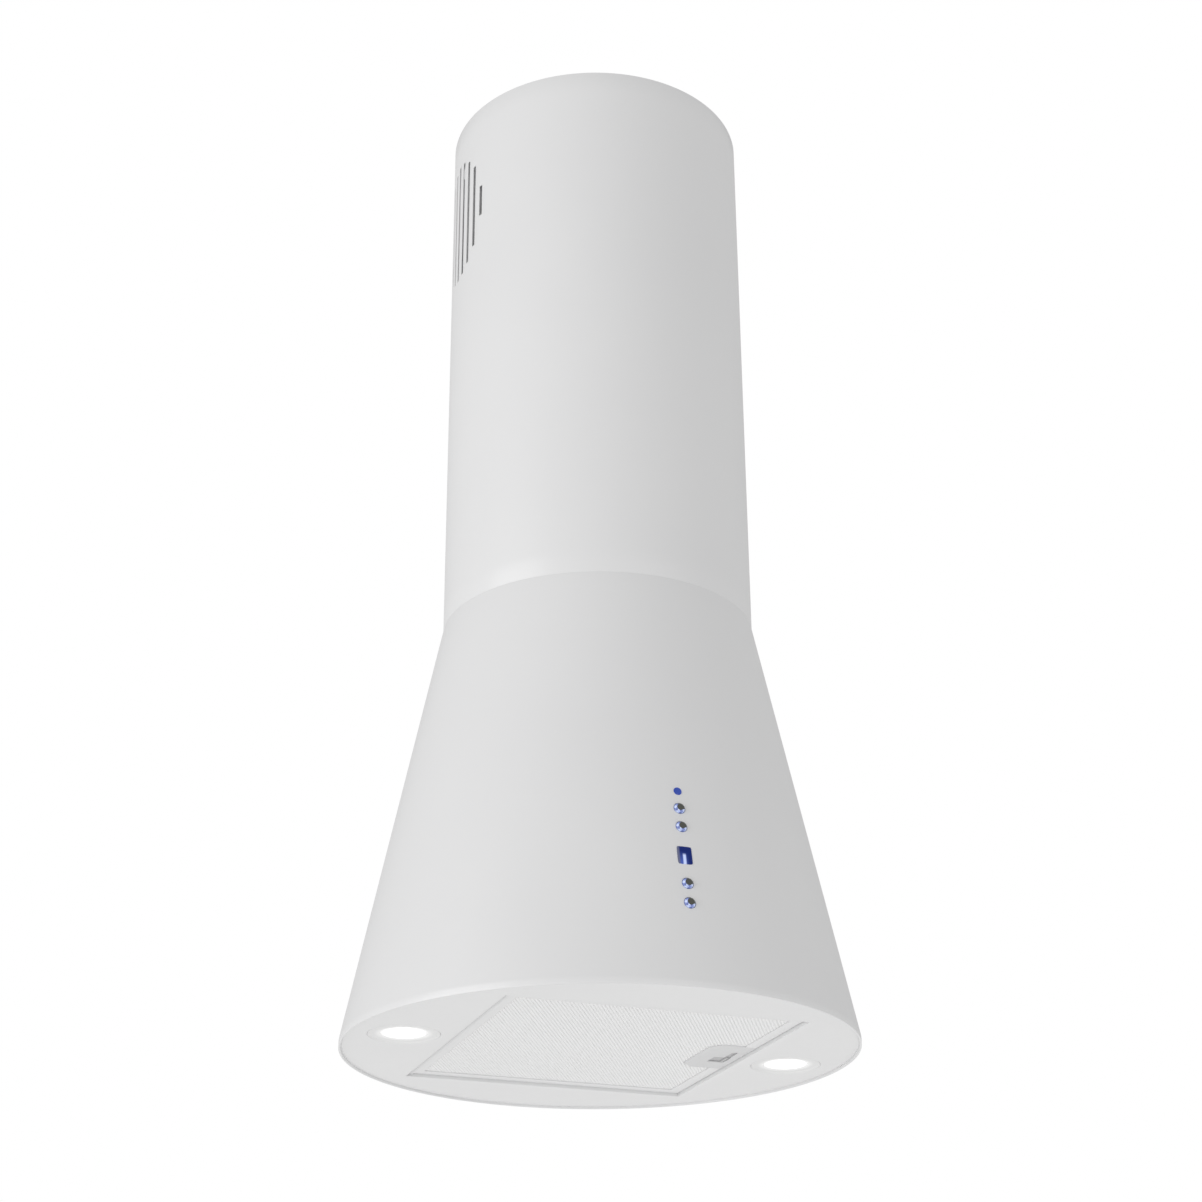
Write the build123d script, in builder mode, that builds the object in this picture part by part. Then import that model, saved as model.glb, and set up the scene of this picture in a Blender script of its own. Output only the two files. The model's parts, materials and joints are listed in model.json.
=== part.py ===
import math
import os

from build123d import *

os.makedirs("parts", exist_ok=True)

# Driving dimensions, in millimetres. The origin is the centre of the ceiling
# plate's top face, +Z is up and the controls face -Y.
rim_d = 390.0
cover_d = 250.0
canopy_h = 340.0
cover_len = 470.0
top_gap = 2.0
sheet = 1.0
hem_h = 4.3
hem_wall = 1.2

cover_top_z = -top_gap
seam_z = cover_top_z - cover_len
rim_z = seam_z - canopy_h
hem_z = rim_z + hem_h

rim_r = rim_d / 2
cover_r = cover_d / 2
slope = (rim_r - cover_r) / (seam_z - hem_z)
tilt = math.degrees(math.atan(slope))
flat_sheet = sheet / math.cos(math.radians(tilt))

# Ceiling plate and telescopic frame
ceiling_t = 3.0
ceiling_r = 116.0
duct_hole_r = 86.0
anchor_pcd = 202.0
anchor_r = 4.0
upper_corner = 82.0
upper_leg = 20.0
lower_corner = 79.6
lower_leg = 18.0
angle_wall = 2.0
upper_low_z = -413.0
lower_top_z = -60.0
travel = 300.0
lock_z = -393.0
lock_y = 71.0
lock_r = 3.0

# Inner cover and vents
inner_cover_r = 121.5
inner_cover_t = 0.8
inner_cover_top = -4.0
inner_cover_low = -344.0
vent_count = 9
vent_pitch = 4.7
vent_w = 4.5
vent_half_h = 59.0
vent_half_w = 42.4
vent_z = cover_top_z - 97.0

# Top plate, outlet and flaps
plate_t = 1.5
plate_top = seam_z + plate_t
plate_r = 123.6
flange_in_r = 118.0
spigot_r = 75.0
spigot_t = 1.2
spigot_top = -430.0
flange_r = 86.0
flap_z = -448.0
flap_r = 73.0
flap_t = 0.8
pin_r = 1.5

# Blower
wheel_x = 30.0
wheel_z = -625.0
wheel_r = 73.0
blade_in_r = 60.0
wheel_half = 52.0
scroll_half = 62.0
scroll_r = 84.0
scroll_step = 12.0
outlet_z = -517.0
outlet_right = 14.0
tongue_r = 6.0
inlet_r = 57.0
shaft_r = 4.0
motor_r = 46.0
motor_back = -66.0
motor_front = -8.0

# Bottom panel, filter and lamps
panel_bot = rim_z + 1.6
panel_top = panel_bot + sheet
panel_r = 193.2
open_x = 115.0
open_y = 128.0
filter_x = 113.5
filter_y = 126.5
filter_t = 9.0
filter_bot = panel_bot + 2.5
filter_top = filter_bot + filter_t
filter_wall = 0.8
hinge_x = -109.0
hinge_z = filter_bot + filter_t / 2
lamp_x = 152.0
lamp_r = 26.5
lens_r = 17.3

# Controls on the front of the canopy, as heights above the rim
dot_h = 151.0
crystal_h = (137.1, 122.4, 77.8, 62.8)
display_h = 99.6
crystal_r = 4.3
dot_r = 3.1
display_w = 11.0
display_l = 14.0


def shell_r(z):
    # outer radius of the canopy at a height: straight cone from seam to hem
    return cover_r + slope * (seam_z - z)


def disc(radius, z0, z1, at=(0, 0), mode=Mode.ADD):
    # upright cylinder between two heights
    with BuildSketch(Plane.XY.offset(z0)) as profile:
        with Locations(at):
            Circle(radius)
    extrude(profile.sketch, amount=z1 - z0, mode=mode)


def tube(r_out, r_in, z0, z1, at=(0, 0)):
    # upright ring between two heights
    with BuildSketch(Plane.XY.offset(z0)) as profile:
        with Locations(at):
            Circle(r_out)
            Circle(r_in, mode=Mode.SUBTRACT)
    extrude(profile.sketch, amount=z1 - z0)


def block(x0, x1, y0, y1, z0, z1, mode=Mode.ADD):
    # box from its six limits
    with BuildSketch(Plane.XY.offset(z0)) as profile:
        with Locations(((x0 + x1) / 2, (y0 + y1) / 2)):
            Rectangle(x1 - x0, y1 - y0)
    extrude(profile.sketch, amount=z1 - z0, mode=mode)


def across(radius, y0, y1, x, z, inner=0.0, mode=Mode.ADD):
    # cylinder or ring along Y at a given x and z
    with BuildSketch(Plane(origin=(x, y0, z), x_dir=(1, 0, 0), z_dir=(0, 1, 0))) as profile:
        Circle(radius)
        if inner:
            Circle(inner, mode=Mode.SUBTRACT)
    extrude(profile.sketch, amount=y1 - y0, mode=mode)


def turned(points, degrees=360.0, start=0.0, centre=(0, 0)):
    # solid of revolution about a vertical axis from (radius, height) points
    turn = math.radians(start)
    side = Plane(
        origin=(centre[0], centre[1], 0),
        x_dir=(math.cos(turn), math.sin(turn), 0),
        z_dir=(math.sin(turn), -math.cos(turn), 0),
    )
    with BuildSketch(side) as profile:
        with BuildLine():
            Polyline(*points, close=True)
        make_face()
    revolve(profile.sketch, axis=Axis((centre[0], centre[1], 0), (0, 0, 1)), revolution_arc=degrees)


def vents():
    # two groups of upright slots, ending on an ellipse, on the -X and +X sides
    for side in (0.0, 180.0):
        for i in range(vent_count):
            step = i - (vent_count - 1) / 2
            across_mm = cover_r * math.radians(step * vent_pitch)
            half = vent_half_h * math.sqrt(1 - (across_mm / vent_half_w) ** 2)
            turn = math.radians(side + step * vent_pitch)
            out = (math.cos(turn), math.sin(turn), 0)
            start = tuple(c * (inner_cover_r - 6) for c in out)
            face = Plane(
                origin=(start[0], start[1], vent_z),
                x_dir=(-math.sin(turn), math.cos(turn), 0),
                z_dir=out,
            )
            with BuildSketch(face) as slot:
                RectangleRounded(vent_w, 2 * half, 0.5)
            extrude(slot.sketch, amount=14, mode=Mode.SUBTRACT)


def save(part, name):
    part.label = name
    export_step(part, "parts/" + name + ".step")


# Ceiling plate: ring with the duct hole, four anchor holes, four foot screw holes
foot_mid = upper_corner - upper_leg / 2
with BuildPart() as ceiling_plate:
    tube(ceiling_r, duct_hole_r, -ceiling_t, 0)
    with BuildSketch(Plane.XY.offset(-ceiling_t)) as anchors:
        with PolarLocations(anchor_pcd / 2, 4):
            Circle(anchor_r)
    extrude(anchors.sketch, amount=ceiling_t, mode=Mode.SUBTRACT)
    for x in (-foot_mid, foot_mid):
        for y in (-foot_mid, foot_mid):
            disc(2.1, -ceiling_t, 0, at=(x, y), mode=Mode.SUBTRACT)
save(ceiling_plate.part, "ceiling_plate")

corners = {"1": (-1, -1), "2": (1, -1), "3": (1, 1), "4": (-1, 1)}


def upright(corner, leg, z0, z1, sx, sy, foot_low, foot_hole_r):
    # steel angle with a square foot tab; sx and sy choose the quadrant
    with BuildSketch(Plane.XY.offset(z0)) as section:
        with Locations((sx * (corner - angle_wall / 2), sy * (corner - leg / 2))):
            Rectangle(angle_wall, leg)
        with Locations((sx * (corner - leg / 2), sy * (corner - angle_wall / 2))):
            Rectangle(leg, angle_wall)
    extrude(section.sketch, amount=z1 - z0)
    with BuildSketch(Plane.XY.offset(foot_low)) as foot:
        with Locations((sx * (corner - leg / 2), sy * (corner - leg / 2))):
            Rectangle(leg, leg)
            Circle(foot_hole_r, mode=Mode.SUBTRACT)
    extrude(foot.sketch, amount=angle_wall)


def slot_through(sx, sy, half_w, z0, z1):
    # slot or hole cut through the leg that faces +X or -X
    face = Plane(origin=(sx * 70, sy * lock_y, (z0 + z1) / 2), x_dir=(0, 1, 0), z_dir=(sx, 0, 0))
    with BuildSketch(face) as cut:
        if z1 - z0 > 2 * half_w + 0.01:
            SlotOverall(z1 - z0, 2 * half_w, rotation=90)
        else:
            Circle(half_w)
    extrude(cut.sketch, amount=15, mode=Mode.SUBTRACT)


# Four fixed uprights under the ceiling plate
for name, (sx, sy) in corners.items():
    with BuildPart() as upper:
        upright(upper_corner, upper_leg, upper_low_z, -ceiling_t, sx, sy, -ceiling_t - angle_wall, 2.1)
        slot_through(sx, sy, lock_r + 0.1, lock_z - lock_r - 0.1, lock_z + lock_r + 0.1)
    save(upper.part, "upper_upright_" + name)

# Four sliding uprights that carry the canopy, slotted for the lock bolts
for name, (sx, sy) in corners.items():
    with BuildPart() as lower:
        upright(lower_corner, lower_leg, plate_top, lower_top_z, sx, sy, plate_top, 2.1)
        slot_through(sx, sy, lock_r + 0.3, lock_z - 6, lock_z + travel + 6)
    save(lower.part, "lower_upright_" + name)

# Fixed inner cover with the same vents, and its two curved brackets
with BuildPart() as inner_cover:
    tube(inner_cover_r, inner_cover_r - inner_cover_t, inner_cover_low, inner_cover_top)
    vents()
save(inner_cover.part, "inner_cover")

bracket_r = inner_cover_r - inner_cover_t
bracket_low = -20.0
bracket_turns = (20.0, 110.0, 200.0, 290.0)
with BuildPart() as cover_brackets:
    for start in bracket_turns:
        turned(
            [
                (104, -ceiling_t),
                (bracket_r, -ceiling_t),
                (bracket_r, bracket_low),
                (bracket_r - 1.2, bracket_low),
                (bracket_r - 1.2, -ceiling_t - 1.2),
                (104, -ceiling_t - 1.2),
            ],
            degrees=8,
            start=start,
        )
save(cover_brackets.part, "inner_cover_brackets")

# Fasteners on the ceiling side: foot screws, cover bracket screws and the lock
# bolts, each with its head outside the fixed upright and its nut inside the sliding one
with BuildPart() as mount_screws:
    foot_low = -ceiling_t - angle_wall
    for x in (-foot_mid, foot_mid):
        for y in (-foot_mid, foot_mid):
            disc(2.0, foot_low, -0.4, at=(x, y))
            disc(3.6, foot_low - 2.6, foot_low, at=(x, y))
    for start in bracket_turns:
        turn = math.radians(start + 4)
        at = (108 * math.cos(turn), 108 * math.sin(turn))
        disc(3.2, -ceiling_t - 3.4, -ceiling_t - 1.2, at=at)
    for sx, sy in corners.values():
        inner = lower_corner - angle_wall - 0.3
        shank = Plane(origin=(sx * (inner - 6.3), sy * lock_y, lock_z), x_dir=(0, 1, 0), z_dir=(sx, 0, 0))
        with BuildSketch(shank) as core:
            Circle(lock_r)
        extrude(core.sketch, amount=upper_corner - inner + 6.3)
        with BuildSketch(shank.offset(1.3)) as nut:
            RegularPolygon(5 / math.cos(math.radians(30)), 6, rotation=90)
        extrude(nut.sketch, amount=5)
        with BuildSketch(shank.offset(upper_corner - inner + 6.3)) as head:
            Circle(5)
        extrude(head.sketch, amount=3.6)
save(mount_screws.part, "mount_fasteners")

# Outer cover, standing on the canopy
with BuildPart() as outer_cover:
    tube(cover_r, cover_r - sheet, seam_z, cover_top_z)
    vents()
save(outer_cover.part, "outer_cover")


def front_plane(height, depth):
    # plane on the front of the canopy, normal to its slope, sunk by depth
    z = rim_z + height
    lean = math.radians(tilt)
    out = (0, -math.cos(lean), math.sin(lean))
    y = -shell_r(z)
    return Plane(origin=(0, y, z), x_dir=(1, 0, 0), z_dir=out).offset(-depth)


def stud(height, radius, deep, shallow, mode=Mode.ADD):
    # cylinder square to the front of the canopy between two depths
    with BuildSketch(front_plane(height, deep)) as profile:
        Circle(radius)
    extrude(profile.sketch, amount=deep - shallow, mode=mode)


def tile(height, width, tall, deep, shallow, corner=0.0, mode=Mode.ADD):
    # rectangular block square to the front of the canopy between two depths
    with BuildSketch(front_plane(height, deep)) as profile:
        if corner:
            RectangleRounded(width, tall, corner)
        else:
            Rectangle(width, tall)
    extrude(profile.sketch, amount=deep - shallow, mode=mode)


# Canopy shell: flange, cone and turned hem, pierced for the controls
shell_in = [
    (flange_in_r, seam_z - sheet),
    (cover_r - flat_sheet + slope * sheet, seam_z - sheet),
    (rim_r - flat_sheet, hem_z),
    (rim_r - hem_wall, hem_z - 0.8),
]
with BuildPart() as canopy_shell:
    turned(
        [(flange_in_r, seam_z), (cover_r, seam_z), (rim_r, hem_z), (rim_r, rim_z), (rim_r - hem_wall, rim_z)]
        + shell_in[::-1]
    )
    for height in crystal_h:
        stud(height, crystal_r + 0.25, 4, -3, mode=Mode.SUBTRACT)
    stud(dot_h, dot_r + 0.05, 4, -3, mode=Mode.SUBTRACT)
    tile(display_h, display_w + 0.3, display_l + 0.3, 4, -3, corner=1.2, mode=Mode.SUBTRACT)
save(canopy_shell.part, "canopy_shell")

# Top plate of the canopy with an upstand that centres the outer cover
box_x0 = 88.0
box_x1 = 111.0
box_y = 32.0
gland_x = 99.5
lower_mid = lower_corner - lower_leg / 2
with BuildPart() as top_plate:
    tube(plate_r, spigot_r - spigot_t, seam_z, plate_top)
    tube(plate_r, plate_r - 1.2, plate_top, plate_top + 7.5)
    for x in (-lower_mid, lower_mid):
        for y in (-lower_mid, lower_mid):
            disc(2.1, seam_z, plate_top, at=(x, y), mode=Mode.SUBTRACT)
    disc(6.0, seam_z, plate_top, at=(gland_x, 0), mode=Mode.SUBTRACT)
    with BuildSketch(Plane.XY.offset(seam_z)) as screw_holes:
        with PolarLocations(80.5, 4):
            Circle(1.7)
    extrude(screw_holes.sketch, amount=plate_t, mode=Mode.SUBTRACT)
save(top_plate.part, "canopy_top_plate")

# Round outlet spigot with a flange; its wall carries the flap pin
with BuildPart() as spigot:
    tube(spigot_r, spigot_r - spigot_t, plate_top, spigot_top)
    tube(flange_r, spigot_r - 0.1, plate_top, plate_top + 1.2)
    with BuildSketch(Plane.XY.offset(plate_top)) as screw_holes:
        with PolarLocations(80.5, 4):
            Circle(1.7)
    extrude(screw_holes.sketch, amount=1.2, mode=Mode.SUBTRACT)
    across(pin_r + 0.05, -80, 80, 0, flap_z, mode=Mode.SUBTRACT)
save(spigot.part, "outlet_spigot")

with BuildPart() as flap_pin:
    across(pin_r, -74.8, 74.8, 0, flap_z)
save(flap_pin.part, "flap_pin")


def flap(sx, knuckles, gaps):
    # half disc hung on the pin by two knuckles, notched round the other flap's knuckles
    with BuildSketch(Plane.XY.offset(flap_z - flap_t / 2)) as half:
        Circle(flap_r)
        with Locations((-sx * (flap_r - 1.2), 0)):
            Rectangle(2 * flap_r, 2 * flap_r + 2, mode=Mode.SUBTRACT)
        for y0, y1 in gaps:
            with Locations((0, (y0 + y1) / 2)):
                Rectangle(6.4, y1 - y0 + 2, mode=Mode.SUBTRACT)
        with Locations((0, 67), (0, -67)):
            Rectangle(6.4, 14, mode=Mode.SUBTRACT)
    extrude(half.sketch, amount=flap_t)
    for y0, y1 in knuckles:
        across(2.6, y0, y1, 0, flap_z)
    across(pin_r + 0.1, -80, 80, 0, flap_z, mode=Mode.SUBTRACT)


left_knuckles = ((-59, -31), (1, 29))
right_knuckles = ((-29, -1), (31, 59))
with BuildPart() as flap_left:
    flap(-1, left_knuckles, right_knuckles)
save(flap_left.part, "flap_left")

with BuildPart() as flap_right:
    flap(1, right_knuckles, left_knuckles)
save(flap_right.part, "flap_right")

# Outlet transition: square blower mouth to round spigot
left_wall = wheel_x - scroll_step / 2 - scroll_r - 2 * scroll_step
mouth_x = (left_wall + outlet_right) / 2
mouth_w = outlet_right - left_wall
round_z = -482.0


def funnel(grow, mode):
    with BuildSketch(Plane.XY.offset(outlet_z)) as mouth:
        with Locations((mouth_x, 0)):
            Rectangle(mouth_w + 2 * grow, 2 * scroll_half + 2 * grow)
    with BuildSketch(Plane.XY.offset(round_z)) as top:
        Circle(spigot_r - spigot_t - 1.3 + grow)
    loft([mouth.sketch.face(), top.sketch.face()], mode=mode)


with BuildPart() as transition:
    funnel(sheet, Mode.ADD)
    funnel(0, Mode.SUBTRACT)
    tube(spigot_r - spigot_t - 0.3, spigot_r - spigot_t - 1.3, round_z, seam_z)
    tube(flange_r, spigot_r - spigot_t - 0.4, seam_z - 1.2, seam_z)
save(transition.part, "outlet_transition")

# Scroll: volute of three quarter arcs, rising to the outlet on the -X side
arc_1 = (wheel_x + scroll_step / 2, wheel_z - scroll_step / 2)
arc_2 = (wheel_x - scroll_step / 2, wheel_z - scroll_step / 2)
arc_3 = (wheel_x - scroll_step / 2, wheel_z + scroll_step / 2)
front_view = Plane(origin=(0, -scroll_half, 0), x_dir=(1, 0, 0), z_dir=(0, -1, 0))


def volute(grow):
    # closed outline of the volute, moved outwards by grow
    r_1 = scroll_r + grow
    r_2 = r_1 + scroll_step
    r_3 = r_2 + scroll_step
    roof = arc_1[1] + r_1
    nose = outlet_right + grow
    bend = tongue_r - grow
    Line((nose, outlet_z), (nose, roof + bend))
    RadiusArc((nose, roof + bend), (nose + bend, roof), bend)
    Line((nose + bend, roof), (arc_1[0], roof))
    CenterArc(arc_1, r_1, 90, -90)
    CenterArc(arc_2, r_2, 0, -90)
    CenterArc(arc_3, r_3, -90, -90)
    Line((arc_3[0] - r_3, arc_3[1]), (arc_3[0] - r_3, outlet_z))
    Line((arc_3[0] - r_3, outlet_z), (nose, outlet_z))


def volute_solid(grow, y0, y1, mode):
    with BuildSketch(front_view.offset(-scroll_half - y0)) as outline:
        with BuildLine():
            volute(grow)
        make_face()
    extrude(outline.sketch, amount=y0 - y1, mode=mode)


with BuildPart() as wrapper:
    volute_solid(sheet, -scroll_half, scroll_half, Mode.ADD)
    volute_solid(0, -scroll_half - 1, scroll_half + 1, Mode.SUBTRACT)
save(wrapper.part, "scroll_wrapper")

# Scroll side plates with a dished inlet ring round each air inlet
wall_t = 1.0


def scroll_side(facing):
    near = facing * scroll_half
    far = facing * (scroll_half + wall_t)
    volute_solid(sheet, min(near, far), max(near, far), Mode.ADD)
    across(inlet_r + 7, -scroll_half - 9, scroll_half + 9, wheel_x, wheel_z, mode=Mode.SUBTRACT)
    lip = Plane(origin=(wheel_x, 0, wheel_z), x_dir=(1, 0, 0), z_dir=(0, 0, 1))
    with BuildSketch(lip) as dish:
        with BuildLine():
            Polyline(
                (inlet_r, facing * (scroll_half - 7)),
                (inlet_r + 1.2, facing * (scroll_half - 7)),
                (inlet_r + 8, facing * scroll_half),
                (inlet_r + 8, facing * (scroll_half + wall_t)),
                (inlet_r + 6.6, facing * (scroll_half + wall_t)),
                close=True,
            )
        make_face()
    revolve(dish.sketch, axis=Axis((wheel_x, 0, wheel_z), (0, 1, 0)))


with BuildPart() as side_front:
    scroll_side(-1)
save(side_front.part, "scroll_side_front")

with BuildPart() as side_back:
    scroll_side(1)
save(side_back.part, "scroll_side_back")

# Motor: hollow can, two bearings, stator, three-arm bracket on rubber grommets
foot_r = 74.0
foot_turns = (30.0, 150.0, 270.0)
bracket_y = motor_back - 2.0
side_face = -scroll_half - wall_t
with BuildPart() as motor_can:
    across(motor_r, motor_back, motor_front, wheel_x, wheel_z)
    across(motor_r - 2.5, motor_back + 2.5, motor_front - 2.5, wheel_x, wheel_z, mode=Mode.SUBTRACT)
    across(5.2, motor_front - 3, motor_front + 1, wheel_x, wheel_z, mode=Mode.SUBTRACT)
save(motor_can.part, "motor_can")

with BuildPart() as bearings:
    across(11, motor_back + 2.5, motor_back + 9, wheel_x, wheel_z, inner=shaft_r + 0.03)
    across(11, motor_front - 9, motor_front - 2.5, wheel_x, wheel_z, inner=shaft_r + 0.03)
save(bearings.part, "motor_bearings")

with BuildPart() as stator:
    across(motor_r - 2.5, -50, -24, wheel_x, wheel_z, inner=25)
save(stator.part, "motor_stator")

motor_face = Plane(origin=(wheel_x, bracket_y, wheel_z), x_dir=(1, 0, 0), z_dir=(0, 1, 0))


def foot_point(turn):
    # foot position on the plate, counted from +X towards +Z
    angle = math.radians(turn)
    return (wheel_x + foot_r * math.cos(angle), wheel_z + foot_r * math.sin(angle))


with BuildPart() as motor_bracket:
    with BuildSketch(motor_face) as spider:
        Circle(34)
        Circle(20, mode=Mode.SUBTRACT)
        for turn in foot_turns:
            angle = -turn
            mid = (foot_r + 32) / 2
            with Locations((mid * math.cos(math.radians(angle)), mid * math.sin(math.radians(angle)))):
                Rectangle(foot_r - 20, 14, rotation=angle)
    extrude(spider.sketch, amount=motor_back - bracket_y)
    for turn in foot_turns:
        x, z = foot_point(turn)
        across(2.1, bracket_y - 1, motor_back + 1, x, z, mode=Mode.SUBTRACT)
save(motor_bracket.part, "motor_bracket")

with BuildPart() as grommets:
    for turn in foot_turns:
        x, z = foot_point(turn)
        across(5.5, motor_back, side_face, x, z, inner=2.1)
save(grommets.part, "motor_grommets")

# Screws inside the canopy: upright feet, outlet flange and motor feet
with BuildPart() as chassis_screws:
    for x in (-lower_mid, lower_mid):
        for y in (-lower_mid, lower_mid):
            disc(2.0, seam_z - 2, plate_top + angle_wall, at=(x, y))
            disc(3.6, plate_top + angle_wall, plate_top + angle_wall + 2.6, at=(x, y))
    with BuildSketch(Plane.XY.offset(seam_z)) as shanks:
        with PolarLocations(80.5, 4):
            Circle(1.6)
    extrude(shanks.sketch, amount=plate_t + 1.2)
    with BuildSketch(Plane.XY.offset(plate_top + 1.2)) as heads:
        with PolarLocations(80.5, 4):
            Circle(3.1)
    extrude(heads.sketch, amount=2.2)
    for turn in foot_turns:
        x, z = foot_point(turn)
        across(1.9, bracket_y, side_face, x, z)
        across(4.2, bracket_y - 2.8, bracket_y, x, z)
save(chassis_screws.part, "chassis_screws")

# Impeller with two rings of blades round a centre disc, its shaft and the rotor
blade_count = 36
blade_mid = (wheel_r + blade_in_r) / 2
wheel_face = Plane(origin=(wheel_x, -wheel_half, wheel_z), x_dir=(1, 0, 0), z_dir=(0, 1, 0))
with BuildPart() as impeller:
    with BuildSketch(wheel_face) as blades:
        with PolarLocations(blade_mid, blade_count):
            Rectangle(wheel_r - blade_in_r - 0.6, 1.0, rotation=28)
    extrude(blades.sketch, amount=2 * wheel_half)
    across(wheel_r, -wheel_half, -wheel_half + 3, wheel_x, wheel_z, inner=blade_in_r)
    across(wheel_r, wheel_half - 3, wheel_half, wheel_x, wheel_z, inner=blade_in_r)
    across(wheel_r, 0, 2, wheel_x, wheel_z)
    across(11, -5, 14, wheel_x, wheel_z)
    across(shaft_r, -6, 15, wheel_x, wheel_z, mode=Mode.SUBTRACT)
save(impeller.part, "impeller")

with BuildPart() as shaft:
    across(shaft_r, -62, 16, wheel_x, wheel_z)
save(shaft.part, "motor_shaft")

with BuildPart() as rotor:
    across(24.4, -51, -23, wheel_x, wheel_z, inner=shaft_r)
save(rotor.part, "motor_rotor")

# Control box under the top plate, with its cover, capacitor and cable gland
box_low = -538.0
with BuildPart() as control_box:
    block(box_x0, box_x1, -box_y, box_y, box_low, seam_z)
    block(box_x0 + 1, box_x1 - 1, -box_y + 1, box_y - 1, box_low - 1, seam_z - 1.5, mode=Mode.SUBTRACT)
    disc(6.0, seam_z - 2, seam_z + 1, at=(gland_x, 0), mode=Mode.SUBTRACT)
save(control_box.part, "control_box")

with BuildPart() as box_cover:
    block(box_x0 - 0.6, box_x1 + 0.6, -box_y - 0.6, box_y + 0.6, box_low - 1.2, box_low)
save(box_cover.part, "control_box_cover")

with BuildPart() as capacitor:
    disc(8.5, box_low, box_low + 42, at=(gland_x, 18))
    disc(3.0, box_low + 42, box_low + 46, at=(gland_x, 18))
save(capacitor.part, "capacitor")

gland_top = plate_top + 13.0
with BuildPart() as gland:
    disc(6.0, seam_z - 6, plate_top, at=(gland_x, 0))
    with BuildSketch(Plane.XY.offset(plate_top)) as hex_body:
        with Locations((gland_x, 0)):
            RegularPolygon(8.5, 6)
    extrude(hex_body.sketch, amount=7)
    disc(6.6, plate_top + 7, gland_top, at=(gland_x, 0))
    disc(3.5, seam_z - 8, gland_top + 1, at=(gland_x, 0), mode=Mode.SUBTRACT)
save(gland.part, "cable_gland")

# Bottom panel with the filter opening, two lamp holes and a rolled edge
with BuildPart() as bottom_panel:
    disc(panel_r, panel_bot, panel_top)
    tube(panel_r, panel_r - sheet, panel_top, panel_bot + 5)
    with BuildSketch(Plane.XY.offset(panel_bot)) as window:
        RectangleRounded(2 * open_x, 2 * open_y, 2)
        with Locations((-lamp_x, 0), (lamp_x, 0)):
            Circle(lamp_r + 0.3)
    extrude(window.sketch, amount=sheet, mode=Mode.SUBTRACT)
save(bottom_panel.part, "bottom_panel")

# Angle brackets joining the panel to the inside of the canopy
leg_in = 1.3
z_a = panel_top + 9.5
z_b = panel_top + 27.5
with BuildPart() as panel_brackets:
    for start in (40.0, 130.0, 220.0, 310.0):
        turned(
            [
                (178, panel_top),
                (188.5, panel_top),
                (shell_r(z_a) - flat_sheet, z_a),
                (shell_r(z_b) - flat_sheet, z_b),
                (shell_r(z_b) - flat_sheet - leg_in, z_b),
                (shell_r(z_a) - flat_sheet - leg_in, z_a),
                (187.2, panel_top + 1.2),
                (178, panel_top + 1.2),
            ],
            degrees=10,
            start=start,
        )
save(panel_brackets.part, "panel_brackets")

# Filter seat: walls round the opening with a ledge over the filter on three sides
seat_in_x = 116.5
seat_in_y = 129.0
seat_wall = 1.2
seat_top = filter_top + 1.7
ledge_low = filter_top + 0.4
with BuildPart() as filter_seat:
    block(
        -seat_in_x - seat_wall, seat_in_x + seat_wall, -seat_in_y - seat_wall, seat_in_y + seat_wall,
        panel_top, seat_top,
    )
    block(-seat_in_x, seat_in_x, -seat_in_y, seat_in_y, panel_top - 1, ledge_low, mode=Mode.SUBTRACT)
    block(-105, 105, -117, 117, ledge_low - 1, seat_top + 1, mode=Mode.SUBTRACT)
    block(-seat_in_x, -100, -seat_in_y, seat_in_y, ledge_low - 1, seat_top + 1, mode=Mode.SUBTRACT)
    across(2.1, -140, 140, hinge_x, hinge_z, mode=Mode.SUBTRACT)
save(filter_seat.part, "filter_seat")

# Grease filter: folded frame on two pivot pins, mesh faces and a layered core
well_x0 = 78.0
well_y = 35.0
border = 10.0
flat = 0.8
tongue_y = 6.0
with BuildPart() as filter_frame:
    block(-filter_x, filter_x, -filter_y, filter_y, filter_bot, filter_top)
    block(
        -filter_x + filter_wall, filter_x - filter_wall, -filter_y + filter_wall, filter_y - filter_wall,
        filter_bot + flat, filter_top - flat, mode=Mode.SUBTRACT,
    )
    block(
        -filter_x + border, filter_x - border, -filter_y + border, filter_y - border,
        filter_bot - 1, filter_top + 1, mode=Mode.SUBTRACT,
    )
    block(
        filter_x - border - 1, filter_x - filter_wall, -well_y, well_y,
        filter_bot - 1, filter_bot + flat, mode=Mode.SUBTRACT,
    )
    block(
        filter_x - filter_wall, filter_x, -tongue_y - 0.4, tongue_y + 0.4,
        filter_bot + 0.9, filter_bot + 3.6, mode=Mode.SUBTRACT,
    )
    across(2.0, -filter_y - 5, -filter_y, hinge_x, hinge_z)
    across(2.0, filter_y, filter_y + 5, hinge_x, hinge_z)
save(filter_frame.part, "filter_frame")

mesh_x = filter_x - filter_wall
mesh_y = filter_y - filter_wall


def mesh_layer(z0, z1):
    block(-mesh_x, mesh_x, -mesh_y, mesh_y, z0, z1)
    block(well_x0 - 0.2, mesh_x + 1, -well_y - 0.2, well_y + 0.2, z0 - 1, z1 + 1, mode=Mode.SUBTRACT)


with BuildPart() as filter_mesh:
    mesh_layer(filter_bot + flat, filter_bot + flat + 0.6)
save(filter_mesh.part, "filter_mesh")

with BuildPart() as filter_core:
    mesh_layer(filter_bot + flat + 0.6, filter_top - flat)
save(filter_core.part, "filter_core")

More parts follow.
